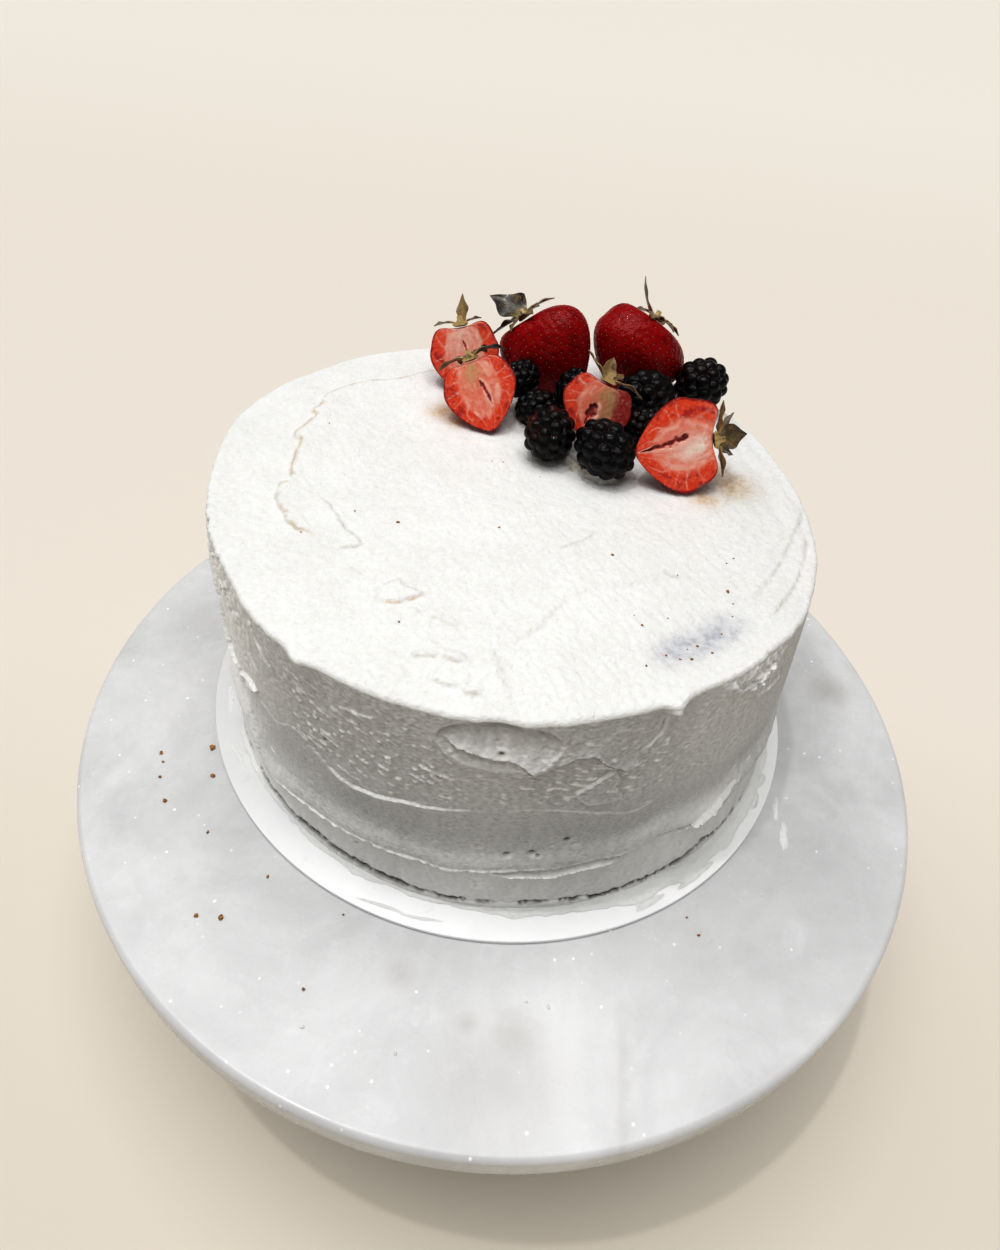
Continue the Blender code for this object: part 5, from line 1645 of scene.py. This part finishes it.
SEPAL_THICKNESS = 0.00040
SEPAL_SPREAD = (  # part of its length, share of its width there
    (0.0, 0.52), (0.12, 0.66), (0.26, 0.90), (0.40, 1.0), (0.55, 0.90), (0.70, 0.66), (0.85, 0.36),
    (0.94, 0.16), (1.0, 0.02),
)
LEAF_LOOKS = {  # dark share of each sepal, in the order of the calyx; the near-black ones are partly painted shade
    "calyx_left": (0.3, 0.0, 0.25),
    "calyx_front_left": (0.95, 1.0, 0.85, 0.35),
    "calyx_middle": (0.1, 0.25, 0.15, 0.2),
    "calyx_right": (0.15, 0.6, 0.75, 0.4, 0.25),
    "calyx_back_left": (0.3, 0.6, 1.0, 0.8, 0.4, 0.4),
    "calyx_back_right": (0.3, 0.4, 0.2, 0.4, 0.4, 0.4),
}
# How far the tip of a sepal leans to its left, in metres
LEANS = {("calyx_back_left", 2): 0.0040}


def thick_sheet(grid, thickness):
    """A closed body from a grid of points: the grid, its copy along the normals, and a rim between them."""
    rows, count = grid.shape[:2]
    along = np.gradient(grid, axis=0)
    across = np.gradient(grid, axis=1)
    normal = np.cross(along, across)
    normal /= np.maximum(np.linalg.norm(normal, axis=-1, keepdims=True), 1e-12)
    points = np.concatenate([grid.reshape(-1, 3), (grid + normal * thickness).reshape(-1, 3)])
    lower = ring_quads(rows, count, closed=False)
    upper = lower[:, ::-1] + rows * count
    numbers = np.arange(rows * count).reshape(rows, count)
    rim = np.concatenate([numbers[0], numbers[1:, -1], numbers[-1, -2::-1], numbers[-2:0:-1, 0]])
    after = np.roll(rim, -1)
    sides = np.stack([after, rim, rim + rows * count, after + rows * count], axis=-1)
    return points, np.concatenate([lower, upper, sides]), ()


def sepal_grid(degrees, length, width, start_slope, bend, seed, lean):
    """A sepal as a grid: wide at its foot, pointed, folded along its middle, with a ruffled margin."""
    draw = np.random.default_rng(seed)
    steps = 22
    foot = 0.0021  # where it starts, hidden in the collar
    along = np.linspace(0, 1, steps + 1)
    slope = np.radians(start_slope + bend * along)
    reach = length + COLLAR_RADIUS - foot
    out = foot + reach * np.concatenate([[0], np.cumsum(np.cos(slope[1:]) / steps)])
    up = CALYX_LIFT + 0.0004 + reach * np.concatenate([[0], np.cumsum(np.sin(slope[1:]) / steps)])
    columns = 9
    sideways = np.linspace(-1, 1, columns)
    spread = np.interp(along, *zip(*SEPAL_SPREAD)) * width / 2
    spread = spread * (1 + 0.10 * np.sin(9 * along + draw.uniform(0, 6)))
    sway = 0.10 * width * np.sin(2.6 * along + draw.uniform(0, 6)) * along
    aside = spread[:, None] * sideways + (sway + lean * along**2)[:, None]
    fold = 0.22 * spread[:, None] * np.abs(sideways) ** 1.4
    waves = np.sin(11 * along[:, None] + 2 * np.sign(sideways) + draw.uniform(0, 6))
    lift = fold + 0.16 * spread[:, None] * sideways**2 * waves
    turn = math.radians(degrees)
    direction = np.array([math.cos(turn), math.sin(turn), 0])
    cross = np.array([-math.sin(turn), math.cos(turn), 0])
    out = out[:, None] - lift * np.sin(slope)[:, None]
    up = up[:, None] + lift * np.cos(slope)[:, None]
    grid = out[..., None] * direction + aside[..., None] * cross + up[..., None] * (0, 0, 1)
    return grid, along, sideways


def make_calyx(name, material):
    """The sepals of a strawberry round a low collar."""
    berry_name, sepals = CALYXES[name]
    berry = Strawberry(berry_name)
    tan = srgb(200, 172, 116)
    parts, tints = [], []
    for k, (degrees, length, width, slope, bend) in enumerate(sepals):
        lean = LEANS.get((name, k), 0.0)
        seed = 100 * len(name) + k
        grid, along, sideways = sepal_grid(degrees, length, width, slope, bend, seed, lean)
        parts.append(thick_sheet(grid, SEPAL_THICKNESS))
        # near-black sepals are partly painted shade, standing for sepals that lie in shadow
        dark = LEAF_LOOKS[name][k]
        base = srgb(148, 122, 80) * (1 - dark) + srgb(44, 40, 35) * dark
        rib = bump(sideways, 0.22)[None, :, None] * 0.35 * (1 - 0.7 * dark)
        foot = (1 - ramp(along, 0.0, 0.35))[:, None, None] * 0.55
        tint = base + (tan - base) * np.clip(rib + foot, 0, 1)
        tints.append(np.tile(tint.reshape(-1, 3), (2, 1)))
    parts.append(collar(berry.cut))
    tints.append(np.tile(tan, (len(parts[-1][0]), 1)))
    points, quads, triangles = joined(parts)
    shape = (placed(points, berry.matrix), quads, triangles)
    add_piece(name + "_leaves", shape, material, "calyx_leaf", name, colours=np.concatenate(tints),
              sharp_degrees=70)


def collar(cut):
    """The calyx's middle: a low collar with the stub of the stem; half of it on a cut berry."""
    profile = ((2.6, -0.6), (3.1, 0.0), (2.6, 0.7), (1.4, 1.0), (1.0, 1.6), (1.0, 2.8), (0.7, 3.0))
    segments = 28
    points, quads, triangles = turned([(r * MM, CALYX_LIFT + z * MM) for r, z in profile], segments)
    if cut:
        points[:, 1] = np.maximum(points[:, 1], -0.0002)
    return points, quads, triangles


# --- Brambles ---


DRUPELET_SIZE = 0.300  # its radius, as a share of the bramble's
BRAMBLE_FINENESS = 6
UNRIPE = {"bramble_front_left": 0.75, "bramble_left_high": 0.2}  # how red it is between its drupelets
FULLY_RIPE = 0.08


def bramble_drupelets(seed):
    """Where a bramble's drupelets sit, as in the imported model."""
    draw = np.random.default_rng(seed)
    spin = Matrix.Rotation(draw.uniform(0, math.tau), 3, "Z") @ Matrix.Rotation(draw.uniform(0, 1), 3, "X")
    lattice, _ = ball(2)
    return np.array([spin @ Vector(place) * draw.uniform(0.985, 1.03) for place in lattice])


def make_bramble(name, material):
    """A bramble: each place of its surface is where the outermost drupelet lies."""
    middle, half_length, half_width, axis, seed = BRAMBLES[name]
    places = bramble_drupelets(seed)
    draw = np.random.default_rng(seed + 50)
    size = DRUPELET_SIZE * draw.uniform(0.88, 1.08, len(places))
    centres = places * (1.035 - size)[:, None]
    directions, triangles = ball(BRAMBLE_FINENESS)
    ahead = directions @ centres.T
    aside = np.maximum((centres**2).sum(-1) - ahead**2, 0.0)
    under = size**2 - aside
    reach = np.where(under > 0, ahead + np.sqrt(np.maximum(under, 0.0)), 0.0)
    radius = np.maximum(reach.max(axis=1), 0.80)
    points = directions * radius[:, None] * (half_width, half_width, half_length)
    turn = np.array(Vector(axis).to_track_quat("Z", "Y").to_matrix())
    points = points @ turn.T + np.array(middle) + (*CAKE_TOP_CENTRE, CAKE_TOP)
    valley = 1 - ramp(radius, 0.84, 0.97)
    high_up = ramp(points[:, 2], CAKE_TOP + 0.009, CAKE_TOP + 0.016)
    patch = ramp(noise(points, 0.006, seed + 60), 0.0, 0.6) * high_up
    red_share = np.clip(valley * (0.25 + patch) + 0.5 * patch, 0, 1) * UNRIPE.get(name, FULLY_RIPE)
    tint = toward(srgb(7, 5, 6), srgb(96, 22, 20), red_share)
    add_piece(name + "_fruit", (points, (), triangles), material, "bramble_skin", name, colours=tint,
              sharp_degrees=180)


# --- Room, camera and light ---


def make_room():
    """A plain pale floor with painted shade, a little darker before the stand and paler far off."""
    look = Look("floor_plain", Roughness=0.9, Specular_IOR_Level=0.1)
    apart = look.node("ShaderNodeSeparateXYZ", {"Vector": look.place}).outputs
    cloud = look.maths("MULTIPLY", look.noise(3.0), 0.05)
    away = look.maths("ADD", look.share(apart["Y"], FLOOR_NEAR, FLOOR_FAR), cloud)
    look.stops(away, (0.03, (0.715, 0.662, 0.575)), (0.19, (0.773, 0.723, 0.653)),
               (0.56, (0.773, 0.723, 0.653)), (1.0, (0.800, 0.762, 0.698)))
    side = FLOOR_HALF_WIDTH
    corners = [(-side, -side, 0), (side, -side, 0), (side, side, 0), (-side, side, 0)]
    floor = make_mesh("floor", (corners, [(0, 1, 2, 3)], ()), look.done())
    floor.location.z = FLOOR_LEVEL


def make_camera():
    """A camera at the photograph's viewing angle."""
    data = bpy.data.cameras.new("camera")
    data.lens = CAMERA_LENS
    data.sensor_width = CAMERA_SENSOR
    data.clip_start = 0.01
    camera = in_scene("camera", data)
    tilt = Matrix.Rotation(math.radians(CAMERA_TILT), 4, "X")
    roll = Matrix.Rotation(math.radians(CAMERA_ROLL), 4, "Z")
    camera.matrix_world = Matrix.Translation(CAMERA_PLACE) @ tilt @ roll
    bpy.context.scene.camera = camera


def make_light():
    """A soft light from overhead, a weaker one from the left, a small one for glints, and a dim room."""
    world = bpy.data.worlds.new("studio")
    world.use_nodes = True
    background = world.node_tree.nodes["Background"]
    background.inputs["Color"].default_value = (1.0, 0.985, 0.96, 1.0)
    background.inputs["Strength"].default_value = ROOM_LIGHT
    bpy.context.scene.world = world
    for name, energy, spread, come_from in SKY_LIGHTS:
        data = bpy.data.lights.new(name, "SUN")
        data.energy = energy
        data.angle = math.radians(spread)
        light = in_scene(name, data)
        light.rotation_mode = "QUATERNION"
        light.rotation_quaternion = Vector(come_from).to_track_quat("Z", "Y")
    view = bpy.context.scene.view_settings
    view.view_transform = "Standard"
    view.gamma = VIEW_GAMMA


# --- The whole scene ---


def main():
    """Everything, in its order."""
    make_camera()
    make_light()
    make_room()
    marble = marble_material()
    make_foot(marble)
    make_plate(marble)
    make_board(card_material())
    icing = icing_material("buttercream_spread")
    edge = make_icing_side(icing, icing_columns())
    make_icing_top(icing, edge)
    loose_icing = icing_material("buttercream_loose", tinted=False)
    make_skirt(loose_icing)
    make_smears(loose_icing)
    make_crumbs(crumb_material())
    skin_look, flesh_look = skin_material(), flesh_material()
    halves = [make_half_strawberry(name, flesh_look, skin_look) for name in STRAWBERRIES if "half" in name]
    wholes = [make_whole_strawberry(name, skin_look) for name in STRAWBERRIES if "whole" in name]
    make_seeds(halves + wholes, seed_material())
    leaf = leaf_material()
    for name in CALYXES:
        make_calyx(name, leaf)
    bramble_look = bramble_material()
    for name in BRAMBLES:
        make_bramble(name, bramble_look)


main()
